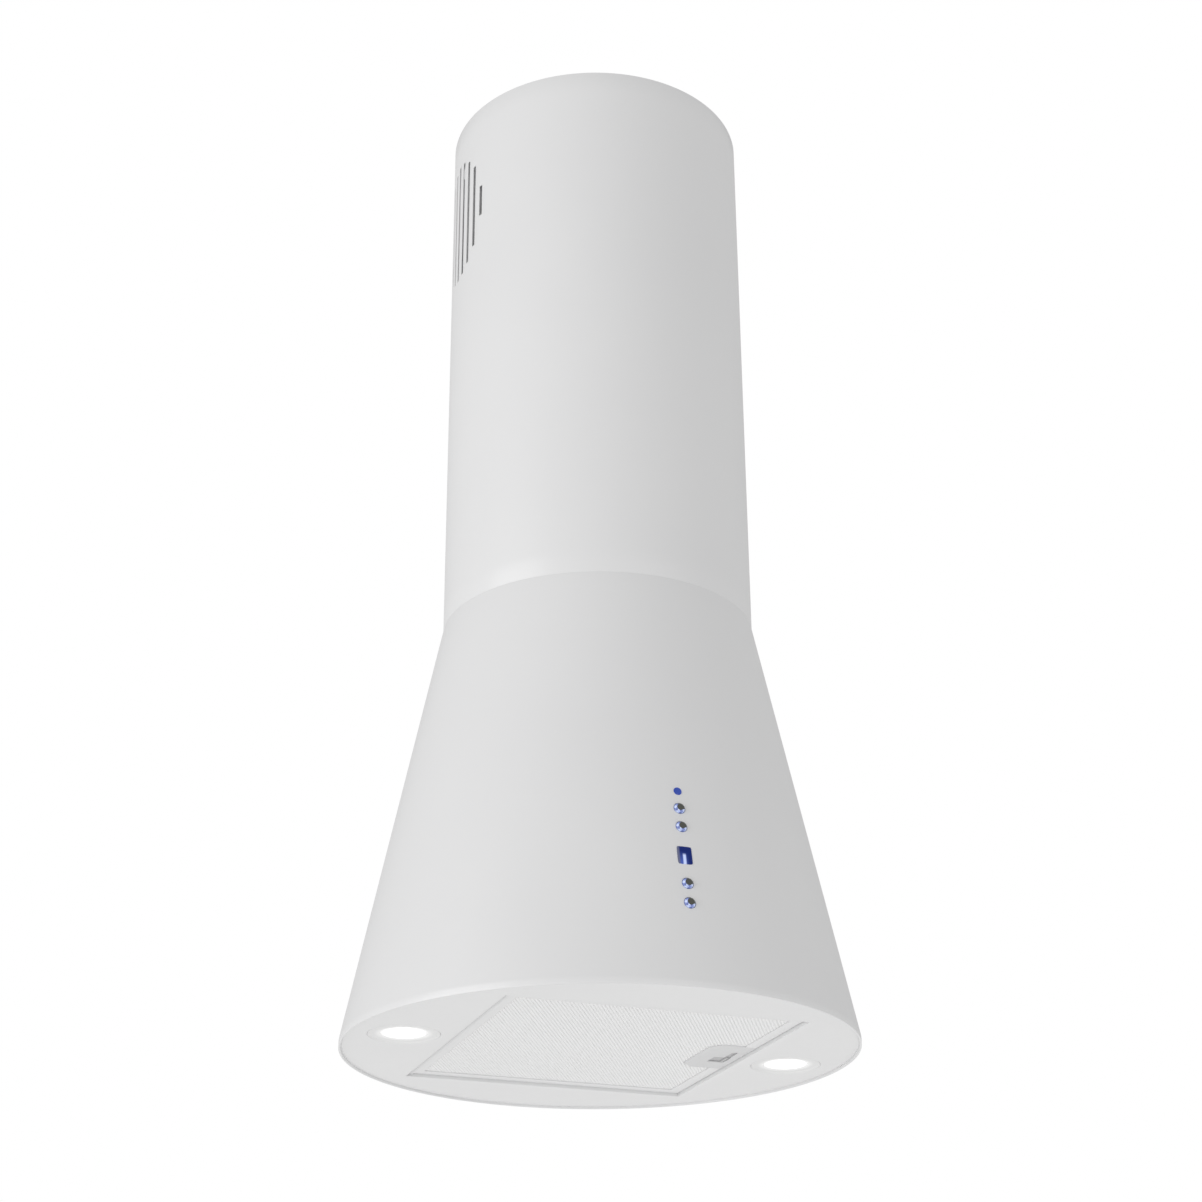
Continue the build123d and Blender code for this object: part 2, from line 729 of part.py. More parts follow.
# Latch well set in the filter: chamfered tray with a stepped finger slot
well_x1 = filter_x - filter_wall
well_top = filter_top - flat
tray = 1.0
pocket_x0 = 80.0
pocket_y = 24.0
with BuildPart() as latch_well:
    with BuildSketch(Plane.XY.offset(filter_bot)) as outline:
        with BuildLine():
            Polyline(
                (well_x1, -well_y), (well_x1, well_y), (well_x0 + 9, well_y), (well_x0, well_y - 9),
                (well_x0, -well_y + 9), (well_x0 + 9, -well_y), close=True,
            )
        make_face()
    extrude(outline.sketch, amount=well_top - filter_bot)
    block(pocket_x0, well_x1 - tray, -pocket_y, pocket_y, filter_bot + tray, well_top - tray, mode=Mode.SUBTRACT)
    block(93, 107, 0, 16, filter_bot - 1, filter_bot + tray + 0.5, mode=Mode.SUBTRACT)
    block(101, 106, -16, 1, filter_bot - 1, filter_bot + tray + 0.5, mode=Mode.SUBTRACT)
    block(
        well_x1 - tray - 1, well_x1 + 1, -tongue_y - 0.4, tongue_y + 0.4,
        filter_bot + 0.9, filter_bot + 3.6, mode=Mode.SUBTRACT,
    )
save(latch_well.part, "latch_well")

# Latch slider with its tongue and finger lip, and the spring behind it
slide_low = filter_bot + tray + 0.25
slide_t = 2.0
slider_x0 = 87.0
with BuildPart() as latch_slider:
    block(slider_x0, 110.5, -22, 22, slide_low, slide_low + slide_t)
    block(110, open_x - 0.3, -tongue_y, tongue_y, slide_low, slide_low + slide_t)
    block(103.5, 105.5, 2, 14, filter_bot + 0.2, slide_low)
    block(slider_x0, slider_x0 + 2, -5, 5, slide_low + slide_t, slide_low + slide_t + 2)
save(latch_slider.part, "latch_slider")

spring_r = 1.6
spring_gap = slider_x0 - pocket_x0
with BuildPart() as latch_spring:
    with BuildLine() as wire:
        Helix(
            pitch=(spring_gap - 0.6) / 4,
            height=spring_gap - 0.6,
            radius=spring_r,
            center=(pocket_x0 + 0.3, 0, slide_low + 2),
            direction=(1, 0, 0),
        )
    with BuildSketch(Plane(origin=wire.line @ 0, z_dir=wire.line % 0)):
        Circle(0.25)
    sweep()
save(latch_spring.part, "latch_spring")

# Lamps: recessed bezel, lens, LED board and finned body, one set on each side
lens_low = panel_bot + 0.9
lens_top = lens_low + 2.0
bezel_top = panel_bot + 4.4
cup_top = panel_bot + 16.4
lamps = {"left": -lamp_x, "right": lamp_x}

for name, x in lamps.items():
    with BuildPart() as bezel:
        turned(
            [
                (lens_r + 0.1, panel_bot + 1.0),
                (lamp_r - 1.5, panel_bot + 0.5),
                (lamp_r, panel_bot + 0.5),
                (lamp_r, bezel_top),
                (lens_r - 1.8, bezel_top),
                (lens_r - 1.8, lens_top),
                (lens_r + 0.1, lens_top),
            ],
            centre=(x, 0),
        )
    save(bezel.part, "lamp_bezel_" + name)

    with BuildPart() as lens:
        disc(lens_r, lens_low, lens_top, at=(x, 0))
    save(lens.part, "lamp_lens_" + name)

    with BuildPart() as lamp_body:
        turned(
            [
                (lamp_r + 0.1, panel_top), (31, panel_top), (31, panel_top + 1.6), (28, panel_top + 1.6),
                (28, cup_top), (0, cup_top), (0, cup_top - 2.5), (24.5, cup_top - 2.5),
                (24.5, bezel_top), (lamp_r + 0.1, bezel_top),
            ],
            centre=(x, 0),
        )
        for i in range(7):
            offset = (i - 3) * 6.5
            half = math.sqrt(26 ** 2 - offset ** 2)
            block(x + offset - 0.7, x + offset + 0.7, -half, half, cup_top, cup_top + 7)
    save(lamp_body.part, "lamp_body_" + name)

with BuildPart() as lamp_boards:
    for x in lamps.values():
        disc(20, cup_top - 4.1, cup_top - 2.5, at=(x, 0))
        for turn in range(6):
            angle = math.radians(60 * turn)
            at_x = x + 10 * math.cos(angle)
            at_y = 10 * math.sin(angle)
            block(at_x - 1.7, at_x + 1.7, at_y - 1.7, at_y + 1.7, cup_top - 5, cup_top - 4.1)
save(lamp_boards.part, "lamp_boards")

# Controls: carrier behind the shell, board, display window, dot lens, four buttons
carrier_h = (dot_h + min(crystal_h)) / 2
carrier_w = 23.0
carrier_l = 112.0
floor_d = 6.4
board_d = 12.0
with BuildPart() as button_carrier:
    tile(carrier_h, carrier_w, carrier_l, board_d, 0)
    tile(carrier_h, carrier_w - 3, carrier_l - 3, floor_d - 1.2, -1, mode=Mode.SUBTRACT)
    tile(carrier_h, carrier_w - 3, carrier_l - 3, board_d + 1, floor_d, mode=Mode.SUBTRACT)
    for height in crystal_h:
        stud(height, 2.5, floor_d + 1, floor_d - 2, mode=Mode.SUBTRACT)
    with BuildSketch(Plane.XZ) as beyond:
        with BuildLine():
            Polyline(
                (shell_r(hem_z) - flat_sheet, hem_z), (shell_r(seam_z) - flat_sheet, seam_z),
                (300, seam_z), (300, hem_z), close=True,
            )
        make_face()
    revolve(beyond.sketch, axis=Axis.Z, mode=Mode.SUBTRACT)
save(button_carrier.part, "button_carrier")

with BuildPart() as control_board:
    tile(carrier_h, carrier_w, carrier_l, board_d + 1.6, board_d)
    for height in crystal_h:
        tile(height, 6, 6, board_d, board_d - 3.4)
save(control_board.part, "control_board")

with BuildPart() as display_window:
    tile(display_h, display_w + 2.5, display_l + 2.6, floor_d - 1.2, 1.6)
    tile(display_h, display_w, display_l, 1.6, -0.25, corner=1.0)
save(display_window.part, "display_window")

with BuildPart() as dot_lens:
    stud(dot_h, 4.5, floor_d - 1.2, 1.6)
    stud(dot_h, dot_r, 1.6, -0.6)
save(dot_lens.part, "indicator_lens")

for i, height in enumerate(crystal_h):
    with BuildPart() as button:
        stud(height, 2.0, board_d - 4.7, 3.5)
        stud(height, 6.0, 3.5, 2.2)
        stud(height, crystal_r, 2.2, -0.7)
        crown = front_plane(height, -0.7)
        with BuildSketch(crown) as girdle:
            RegularPolygon(crystal_r, 8, rotation=22.5)
        with BuildSketch(crown.offset(1.3)) as table:
            RegularPolygon(crystal_r - 1.6, 8, rotation=22.5)
        loft([girdle.sketch.face(), table.sketch.face()])
    save(button.part, "button_" + str(i + 1))
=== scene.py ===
import json
import math

import bmesh
import bpy
import numpy as np
from mathutils import Matrix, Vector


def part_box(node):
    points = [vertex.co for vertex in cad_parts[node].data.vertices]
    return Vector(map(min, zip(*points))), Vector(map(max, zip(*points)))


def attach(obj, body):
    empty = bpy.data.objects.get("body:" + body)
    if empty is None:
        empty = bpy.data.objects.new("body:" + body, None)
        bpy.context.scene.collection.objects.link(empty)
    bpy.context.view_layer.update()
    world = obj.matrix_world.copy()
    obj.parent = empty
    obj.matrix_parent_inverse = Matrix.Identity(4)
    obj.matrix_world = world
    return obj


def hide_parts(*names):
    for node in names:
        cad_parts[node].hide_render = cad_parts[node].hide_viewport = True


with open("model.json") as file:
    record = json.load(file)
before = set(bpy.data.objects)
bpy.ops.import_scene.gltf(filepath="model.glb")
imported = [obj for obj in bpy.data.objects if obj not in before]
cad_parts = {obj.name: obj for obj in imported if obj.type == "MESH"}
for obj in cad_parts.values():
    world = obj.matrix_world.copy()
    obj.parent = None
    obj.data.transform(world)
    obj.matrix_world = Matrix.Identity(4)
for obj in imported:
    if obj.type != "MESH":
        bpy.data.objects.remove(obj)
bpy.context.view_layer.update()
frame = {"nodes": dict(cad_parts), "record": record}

mm = 0.001
slotOf = {part["node"]: part["material_slot"] for part in frame["record"]["subparts"]}


# Levels read from the frame, in metres
coverLow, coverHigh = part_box("outer_cover")
shellLow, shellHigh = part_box("canopy_shell")
panelLow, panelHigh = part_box("bottom_panel")
filterLow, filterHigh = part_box("filter_frame")
topZ, seamZ, rimZ = coverHigh.z, coverLow.z, shellLow.z
coverR, rimR = coverHigh.x, shellHigh.x
hemZ = rimZ + 4.3 * mm
coneSlope = (rimR - coverR) / (seamZ - hemZ)
coneLean = math.atan(coneSlope)


def coneR(z):
    # radius of the canopy's outside: cover radius plus slope times the drop below the seam
    return coverR + coneSlope * (seamZ - z)


# Mesh helpers

def buildMesh(name, points, faceSets, sharp=35):
    # points is an (n, 3) array and each face set an (m, 3) or (m, 4) array of corner numbers
    points = np.ascontiguousarray(points, dtype=np.float32)
    sets = [np.asarray(s, dtype=np.int32) for s in faceSets if len(s)]
    corners = np.concatenate([s.ravel() for s in sets])
    sizes = np.concatenate([np.full(len(s), s.shape[1], dtype=np.int32) for s in sets])
    starts = np.concatenate([[0], np.cumsum(sizes)[:-1]]).astype(np.int32)
    mesh = bpy.data.meshes.new(name)
    mesh.vertices.add(len(points))
    mesh.vertices.foreach_set("co", points.ravel())
    mesh.loops.add(len(corners))
    mesh.loops.foreach_set("vertex_index", corners)
    mesh.polygons.add(len(sizes))
    mesh.polygons.foreach_set("loop_start", starts)
    mesh.update(calc_edges=True)
    mesh.validate()
    mesh.polygons.foreach_set("use_smooth", np.full(len(mesh.polygons), sharp is not None))
    if sharp is not None:
        mesh.set_sharp_from_angle(angle=math.radians(sharp))
    piece = bpy.data.objects.new(name, mesh)
    bpy.context.scene.collection.objects.link(piece)
    return piece


def closeUp(piece, merge=1e-7, outward=True):
    # merges doubled points, then turns every face outwards; an open sheet keeps its own facing
    solid = bmesh.new()
    solid.from_mesh(piece.data)
    bmesh.ops.remove_doubles(solid, verts=solid.verts, dist=merge)
    if outward:
        bmesh.ops.recalc_face_normals(solid, faces=solid.faces)
    solid.to_mesh(piece.data)
    solid.free()
    return piece


def gridQuads(rows, cols, wrapRows=False, wrapCols=False):
    # the four corner numbers of every cell of a grid numbered row by row
    j, i = np.meshgrid(
        np.arange(rows if wrapRows else rows - 1),
        np.arange(cols if wrapCols else cols - 1),
        indexing="ij",
    )
    up, along = (j + 1) % rows, (i + 1) % cols
    return np.stack([j * cols + i, j * cols + along, up * cols + along, up * cols + i], -1).reshape(-1, 4)


def softCorners(corners, radii, steps=5, closed=True):
    # each corner becomes a short parabola that starts and ends its radius away from the corner
    p = np.asarray(corners, dtype=float)
    before, after = np.roll(p, 1, axis=0), np.roll(p, -1, axis=0)
    if not closed:
        before[0], after[-1] = p[0], p[-1]
    reach = np.asarray(radii, dtype=float)[:, None]

    def toward(q):
        way = q - p
        length = np.maximum(np.linalg.norm(way, axis=1, keepdims=True), 1e-12)
        return p + way / length * np.minimum(reach, length * 0.49)

    a, c = toward(before), toward(after)
    s = np.linspace(0, 1, steps)[None, :, None]
    arcs = (1 - s) ** 2 * a[:, None] + 2 * s * (1 - s) * p[:, None] + s ** 2 * c[:, None]
    line = arcs.reshape(-1, 2)
    keep = np.ones(len(line), dtype=bool)
    keep[1:] = np.linalg.norm(np.diff(line, axis=0), axis=1) > 1e-9
    return line[keep]


def lathe(name, profile, centre=(0, 0), steps=192, closed=True, sharp=35):
    # profile of (radius, height) points turned about a vertical axis; a closed profile is also joined
    # from its last point back to its first
    profile = np.asarray(profile, dtype=float)
    turn = np.linspace(0, 2 * math.pi, steps, endpoint=False)
    rows = len(profile)
    r, z = profile[:, 0:1], profile[:, 1:2]
    ring = np.stack([centre[0] + r * np.cos(turn), centre[1] + r * np.sin(turn), z + 0 * turn], -1)
    piece = buildMesh(name, ring.reshape(-1, 3), [gridQuads(rows, steps, closed, True)], sharp)
    return closeUp(piece)


def boxRing(name, inner, outer, low, high, soft, perCorner):
    # a ring of box section with softened edges
    profile = softCorners([(inner, low), (outer, low), (outer, high), (inner, high)], [soft] * 4, perCorner)
    return lathe(name, profile, steps=240)


def rectangleRing(halfX, halfY, radius, perSide=24, perCorner=5):
    # points round a rectangle with rounded corners, the same number for every size
    radius = max(radius, 1e-5)
    cx, cy = halfX - radius, halfY - radius
    bend = np.linspace(0, math.pi / 2, perCorner)
    parts = []
    for k, (sx, sy) in enumerate(((1, 1), (-1, 1), (-1, -1), (1, -1))):
        turn = bend + k * math.pi / 2
        corner = np.stack([sx * cx + radius * np.cos(turn), sy * cy + radius * np.sin(turn)], -1)
        parts.append(corner)
    ring = []
    for k in range(4):
        start, stop = parts[k][-1], parts[(k + 1) % 4][0]
        s = np.linspace(0, 1, perSide + 2)[1:-1, None]
        ring += [parts[k], start + (stop - start) * s]
    return np.concatenate(ring)


def framePiece(name, halfX, halfY, radius, profile, centre=(0, 0), closed=True, sharp=35):
    # profile of (inset, height) points carried round a rectangle with rounded corners
    rings = []
    for inset, z in profile:
        flat = rectangleRing(halfX - inset, halfY - inset, radius - inset)
        rings.append(np.column_stack([flat + np.asarray(centre), np.full(len(flat), z)]))
    cols = len(rings[0])
    piece = buildMesh(name, np.concatenate(rings), [gridQuads(len(rings), cols, closed, True)], sharp)
    return closeUp(piece)


def roundOutline(radius):
    return lambda turn: np.stack([radius * np.cos(turn), radius * np.sin(turn)], -1)


def boxyOutline(halfX, halfY, power=7):
    # superellipse: x and y over their half sizes, each to a high power, add up to one
    def outline(turn):
        c, s = np.cos(turn), np.sin(turn)
        reach = (np.abs(c / halfX) ** power + np.abs(s / halfY) ** power) ** (-1 / power)
        return np.stack([reach * c, reach * s], -1)
    return outline


def punch(flat, rows, cols, wrapCols, holes, rings=4):
    # Cuts holes in a grid of 2-D points. Each hole takes a block of cells; the block's border is
    # joined to the hole's outline by rings that slide evenly from one to the other.
    # A hole is (centre, scale, outline, (row from, row to), (col from, col to)); scale turns local
    # millimetres into the grid's own units. Returns points, faces and each hole's last ring.
    quads = gridQuads(rows, cols, False, wrapCols).reshape(rows - 1, -1, 4)
    keep = np.ones(quads.shape[:2], dtype=bool)
    points, extra, lips = [flat.reshape(-1, 2)], [], []
    count = rows * cols
    for centre, scale, outline, (j0, j1), (i0, i1) in holes:
        keep[j0:j1, i0:i1] = False
        low = [(j0, i) for i in range(i0, i1)]
        right = [(j, i1) for j in range(j0, j1)]
        high = [(j1, i) for i in range(i1, i0, -1)]
        left = [(j, i0) for j in range(j1, j0, -1)]
        border = np.array([j * cols + i % cols for j, i in low + right + high + left])
        edge = points[0][border]
        local = (edge - centre) / scale
        goal = centre + outline(np.arctan2(local[:, 1], local[:, 0])) * scale
        ids = [border]
        for k in range(1, rings + 1):
            t = k / rings
            points.append(edge * (1 - t) + goal * t)
            ids.append(np.arange(count, count + len(border)))
            count += len(border)
        for a, b in zip(ids, ids[1:]):
            extra.append(np.stack([a, np.roll(a, -1), np.roll(b, -1), b], -1))
        lips.append(ids[-1])
    return np.concatenate(points), [quads[keep].reshape(-1, 4)] + extra, lips


def thicken(piece, thickness, bevel=0.0, segments=2):
    # sheet metal: wall grown inwards from the outer skin, edges broken by a small round
    wall = piece.modifiers.new("wall", "SOLIDIFY")
    wall.thickness = thickness
    wall.offset = -1
    if bevel:
        edge = piece.modifiers.new("edge", "BEVEL")
        edge.width = bevel
        edge.segments = segments
        edge.limit_method = "ANGLE"
        edge.angle_limit = math.radians(50)
    return piece


def dress(piece, material, body, slot, *nodes):
    # gives a piece its finish, its body and the nodes that it stands for
    piece.data.materials.clear()
    piece.data.materials.append(material)
    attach(piece, body)
    if nodes:
        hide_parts(*nodes)
    return piece


# Finishes

def newMaterial(name):
    material = bpy.data.materials.new(name)
    material.use_nodes = True
    nodes = material.node_tree.nodes
    return material, nodes, material.node_tree.links, nodes["Principled BSDF"]


def addNode(nodes, kind, **values):
    # a node with its plain settings and its named inputs set
    node = nodes.new(kind)
    for key, value in values.items():
        if key in node.inputs:
            node.inputs[key].default_value = value
        else:
            setattr(node, key, value)
    return node


def setSockets(node, values):
    for socket, value in values.items():
        node.inputs[socket].default_value = value


def blendColours(nodes, links, factor, low, high):
    # colour that runs from low to high as factor runs from 0 to 1
    mix = addNode(nodes, "ShaderNodeMix", data_type="RGBA")
    mix.inputs["A"].default_value = (*low, 1)
    mix.inputs["B"].default_value = (*high, 1)
    links.new(factor, mix.inputs["Factor"])
    return mix.outputs["Result"]


def ramp(nodes, links, value, fromLow, fromHigh, toLow, toHigh):
    # value mapped in a straight line from one span to another, held at its ends
    node = addNode(nodes, "ShaderNodeMapRange")
    setSockets(node, {"From Min": fromLow, "From Max": fromHigh, "To Min": toLow, "To Max": toHigh})
    links.new(value, node.inputs["Value"])
    return node.outputs["Result"]


def maths(nodes, links, operation, first, second=None):
    # one sum on one or two values; each is a number or another node's output
    node = addNode(nodes, "ShaderNodeMath", operation=operation)
    for socket, value in zip(node.inputs, (first, second)):
        if isinstance(value, bpy.types.NodeSocket):
            links.new(value, socket)
        elif value is not None:
            socket.default_value = value
    return node.outputs["Value"]


def noiseOn(nodes, links, scale, detail=2.0, roughness=0.5, squash=(1, 1, 1)):
    # noise on the piece's own coordinates, in features per metre
    where = addNode(nodes, "ShaderNodeTexCoord")
    mapping = addNode(nodes, "ShaderNodeMapping")
    mapping.inputs["Scale"].default_value = squash
    links.new(where.outputs["Object"], mapping.inputs["Vector"])
    noise = addNode(nodes, "ShaderNodeTexNoise", Scale=scale, Detail=detail, Roughness=roughness)
    links.new(mapping.outputs["Vector"], noise.inputs["Vector"])
    return noise.outputs["Fac"]


def unevenGloss(nodes, links, shader, scale, detail, low, high):
    # roughness that drifts from low to high on a noise
    gloss = ramp(nodes, links, noiseOn(nodes, links, scale, detail), 0.3, 0.7, low, high)
    links.new(gloss, shader.inputs["Roughness"])


def addBump(nodes, links, shader, height, strength, distance):
    bump = addNode(nodes, "ShaderNodeBump", Strength=strength, Distance=distance)
    links.new(height, bump.inputs["Height"])
    links.new(bump.outputs["Normal"], shader.inputs["Normal"])


coatLook = {
    "low": (0.77, 0.77, 0.775), "high": (0.81, 0.81, 0.812), "roughness": (0.32, 0.38), "peel": 700, "coat": 0.15,
}


def powderCoat(name, look):
    # white powder coat: fine orange-peel bump, slow drift of tone, slightly uneven gloss
    material, nodes, links, shader = newMaterial(name)
    drift = noiseOn(nodes, links, 6, 3)
    links.new(blendColours(nodes, links, drift, look["low"], look["high"]), shader.inputs["Base Color"])
    unevenGloss(nodes, links, shader, 60, 3, *look["roughness"])
    addBump(nodes, links, shader, noiseOn(nodes, links, look["peel"], 0.5), 0.02, 0.0002)
    setSockets(shader, {"Coat Weight": look["coat"], "Coat Roughness": 0.12})
    return material


zincLook = {"low": (0.42, 0.43, 0.44), "high": (0.60, 0.61, 0.62), "crystal": 90}


def galvanised(name, look):
    # zinc-coated sheet: angular crystals of slightly different tone and gloss
    material, nodes, links, shader = newMaterial(name)
    where = addNode(nodes, "ShaderNodeTexCoord")
    crystals = addNode(nodes, "ShaderNodeTexVoronoi", Scale=look["crystal"])
    links.new(where.outputs["Object"], crystals.inputs["Vector"])
    split = addNode(nodes, "ShaderNodeSeparateColor")
    links.new(crystals.outputs["Color"], split.inputs["Color"])
    tone = split.outputs["Red"]
    links.new(blendColours(nodes, links, tone, look["low"], look["high"]), shader.inputs["Base Color"])
    links.new(ramp(nodes, links, split.outputs["Green"], 0, 1, 0.30, 0.48), shader.inputs["Roughness"])
    addBump(nodes, links, shader, noiseOn(nodes, links, 500, 2), 0.08, 0.0003)
    setSockets(shader, {"Metallic": 0.9})
    return material


def mouldedPlastic(name, low, high, grain=1400, roughness=(0.38, 0.5), bump=0.12):
    # moulded plastic: fine spark-eroded grain and a faint drift of tone
    material, nodes, links, shader = newMaterial(name)
    links.new(blendColours(nodes, links, noiseOn(nodes, links, 25, 2), low, high), shader.inputs["Base Color"])
    unevenGloss(nodes, links, shader, 120, 2, *roughness)
    addBump(nodes, links, shader, noiseOn(nodes, links, grain, 2), bump, 0.0003)
    return material


def machinedMetal(name, low, high, roughness=(0.22, 0.36), squash=(1, 1, 1), scale=400, metallic=0.95):
    # turned or rolled metal: fine lines stretched along one axis
    material, nodes, links, shader = newMaterial(name)
    lines = noiseOn(nodes, links, scale, 3, 0.6, squash)
    links.new(blendColours(nodes, links, lines, low, high), shader.inputs["Base Color"])
    links.new(ramp(nodes, links, lines, 0.3, 0.7, *roughness), shader.inputs["Roughness"])
    addBump(nodes, links, shader, lines, 0.06, 0.0002)
    setSockets(shader, {"Metallic": metallic})
    return material


def circuitBoard(name):
    # green solder mask with copper lanes showing as a lighter pattern
    material, nodes, links, shader = newMaterial(name)
    where = addNode(nodes, "ShaderNodeTexCoord")
    lanes = addNode(nodes, "ShaderNodeTexBrick", Scale=160.0)
    lanes.inputs["Color1"].default_value = (0.015, 0.10, 0.035, 1)
    lanes.inputs["Color2"].default_value = (0.02, 0.13, 0.05, 1)
    lanes.inputs["Mortar"].default_value = (0.06, 0.26, 0.10, 1)
    links.new(where.outputs["Object"], lanes.inputs["Vector"])
    links.new(lanes.outputs["Color"], shader.inputs["Base Color"])
    unevenGloss(nodes, links, shader, 200, 2, 0.25, 0.4)
    return material


whiteCoat = powderCoat("whitePowderCoat", coatLook)
# the inner cover's coat is painted a shade darker than the white coat: painted shade for the inside seen through
# the vents
shadedInnerCoat = powderCoat("innerShadePaintedCoat", {**coatLook, "low": (0.70, 0.70, 0.705), "high": (0.74, 0.74, 0.745)})
meshCoat = powderCoat("meshPowderCoat", {**coatLook, "low": (0.86, 0.86, 0.86), "high": (0.90, 0.90, 0.90)})
zincSheet = galvanised("galvanisedSheet", zincLook)
blackPlastic = mouldedPlastic("blackPlastic", (0.012, 0.012, 0.013), (0.022, 0.022, 0.023))
greyPlastic = mouldedPlastic("greyPlastic", (0.20, 0.205, 0.21), (0.25, 0.255, 0.26))
latchPlastic = mouldedPlastic("latchPlastic", (0.66, 0.66, 0.665), (0.70, 0.70, 0.705), roughness=(0.42, 0.55))
latchDark = mouldedPlastic("latchDark", (0.48, 0.48, 0.485), (0.53, 0.53, 0.535))
capPlastic = mouldedPlastic("capacitorSleeve", (0.50, 0.50, 0.48), (0.56, 0.56, 0.54))
rubberBlack = mouldedPlastic("rubberBlack", (0.010, 0.010, 0.010), (0.016, 0.016, 0.016), 700, (0.7, 0.85), 0.2)
motorPaint = mouldedPlastic("motorPaint", (0.02, 0.02, 0.022), (0.035, 0.035, 0.037), 600, (0.35, 0.5), 0.08)
zincScrew = machinedMetal("zincScrew", (0.45, 0.46, 0.48), (0.62, 0.63, 0.65))
coreIron = machinedMetal("coreIron", (0.10, 0.10, 0.10), (0.22, 0.22, 0.22), (0.4, 0.6), (1, 14, 1))
castAluminium = machinedMetal("castAluminium", (0.38, 0.39, 0.40), (0.50, 0.51, 0.52), (0.4, 0.55))
wheelMetal = machinedMetal("wheelMetal", (0.48, 0.49, 0.50), (0.62, 0.63, 0.64), (0.25, 0.4), (1, 0.1, 1))
knitMetal = machinedMetal("knitMetal", (0.80, 0.80, 0.805), (0.92, 0.92, 0.925), (0.40, 0.55), (1, 1, 1), 700, 0.1)
boardGreen = circuitBoard("boardGreen")
print("finishes made")


# Vented covers

vent = {"count": 9, "pitch": 4.7, "width": 3.8 * mm, "halfHeight": 59 * mm, "halfWidth": 42.4 * mm, "drop": 97 * mm}


def ventedTube(name, radius, low, high, wall, look=vent):
    # A round tube: angle across, height up. Columns fall on the slots' sides and rows on their ends;
    # a slot's half height is the ellipse's, half height times root of one less (offset / half width) squared.
    offset = np.arange(look["count"]) - (look["count"] - 1) / 2
    across = coverR * np.radians(offset * look["pitch"])
    half = look["halfHeight"] * np.sqrt(1 - (across / look["halfWidth"]) ** 2)
    middle = topZ - look["drop"]
    slotTurn = np.radians(offset * look["pitch"])
    halfTurn = look["width"] / 2 / coverR
    inSlots = np.sort(np.concatenate([slotTurn - halfTurn, slotTurn + halfTurn]))
    reach = math.radians(24)
    plain = np.linspace(reach, math.pi - reach, 89)
    turns = np.concatenate([inSlots, plain, inSlots + math.pi, plain + math.pi])
    heights = np.unique(np.round(np.concatenate([
        np.linspace(low, high, 25), middle + half, middle - half,
    ]), 7))
    rows, cols = len(heights), len(turns)
    turnGrid, zGrid = np.meshgrid(turns, heights)
    points = np.stack([radius * np.cos(turnGrid), radius * np.sin(turnGrid), zGrid], -1).reshape(-1, 3)
    quads = gridQuads(rows, cols, False, True).reshape(rows - 1, cols, 4)
    rowMid = (heights[1:] + heights[:-1]) / 2
    nextTurn = np.append(turns[1:], turns[0] + 2 * math.pi)
    colMid = (turns + nextTurn) / 2
    keep = np.ones((rows - 1, cols), dtype=bool)
    for side in (0, math.pi):
        for k in range(look["count"]):
            inside = np.abs(colMid - side - slotTurn[k]) < halfTurn
            keep &= ~((np.abs(rowMid - middle) < half[k])[:, None] & inside[None, :])
    piece = buildMesh(name, points, [quads[keep]])
    return thicken(piece, wall, 0.28 * mm)


dress(ventedTube("coverShell", coverR, coverLow.z + 0.15 * mm, coverHigh.z, 1.0 * mm),
      whiteCoat, "hood", "white_coat", "outer_cover")
innerLow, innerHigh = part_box("inner_cover")
dress(ventedTube("innerCoverShell", innerHigh.x, innerLow.z, innerHigh.z, 0.8 * mm),
      shadedInnerCoat, "ceiling_mount", "inner_coat", "inner_cover")
print("covers made")


# Canopy

canopy = {
    "wall": 1.0 * mm, "flange": 118 * mm, "seamRound": 0.5 * mm, "hemRound": 1.6 * mm,
    "buttons": (137.1 * mm, 122.4 * mm, 77.8 * mm, 62.8 * mm), "buttonHole": 4.5 * mm,
    "dot": 151 * mm, "dotHole": 3.12 * mm, "display": 99.6 * mm,
    "displayHole": (5.6 * mm, 7.1 * mm), "columns": 240,
}


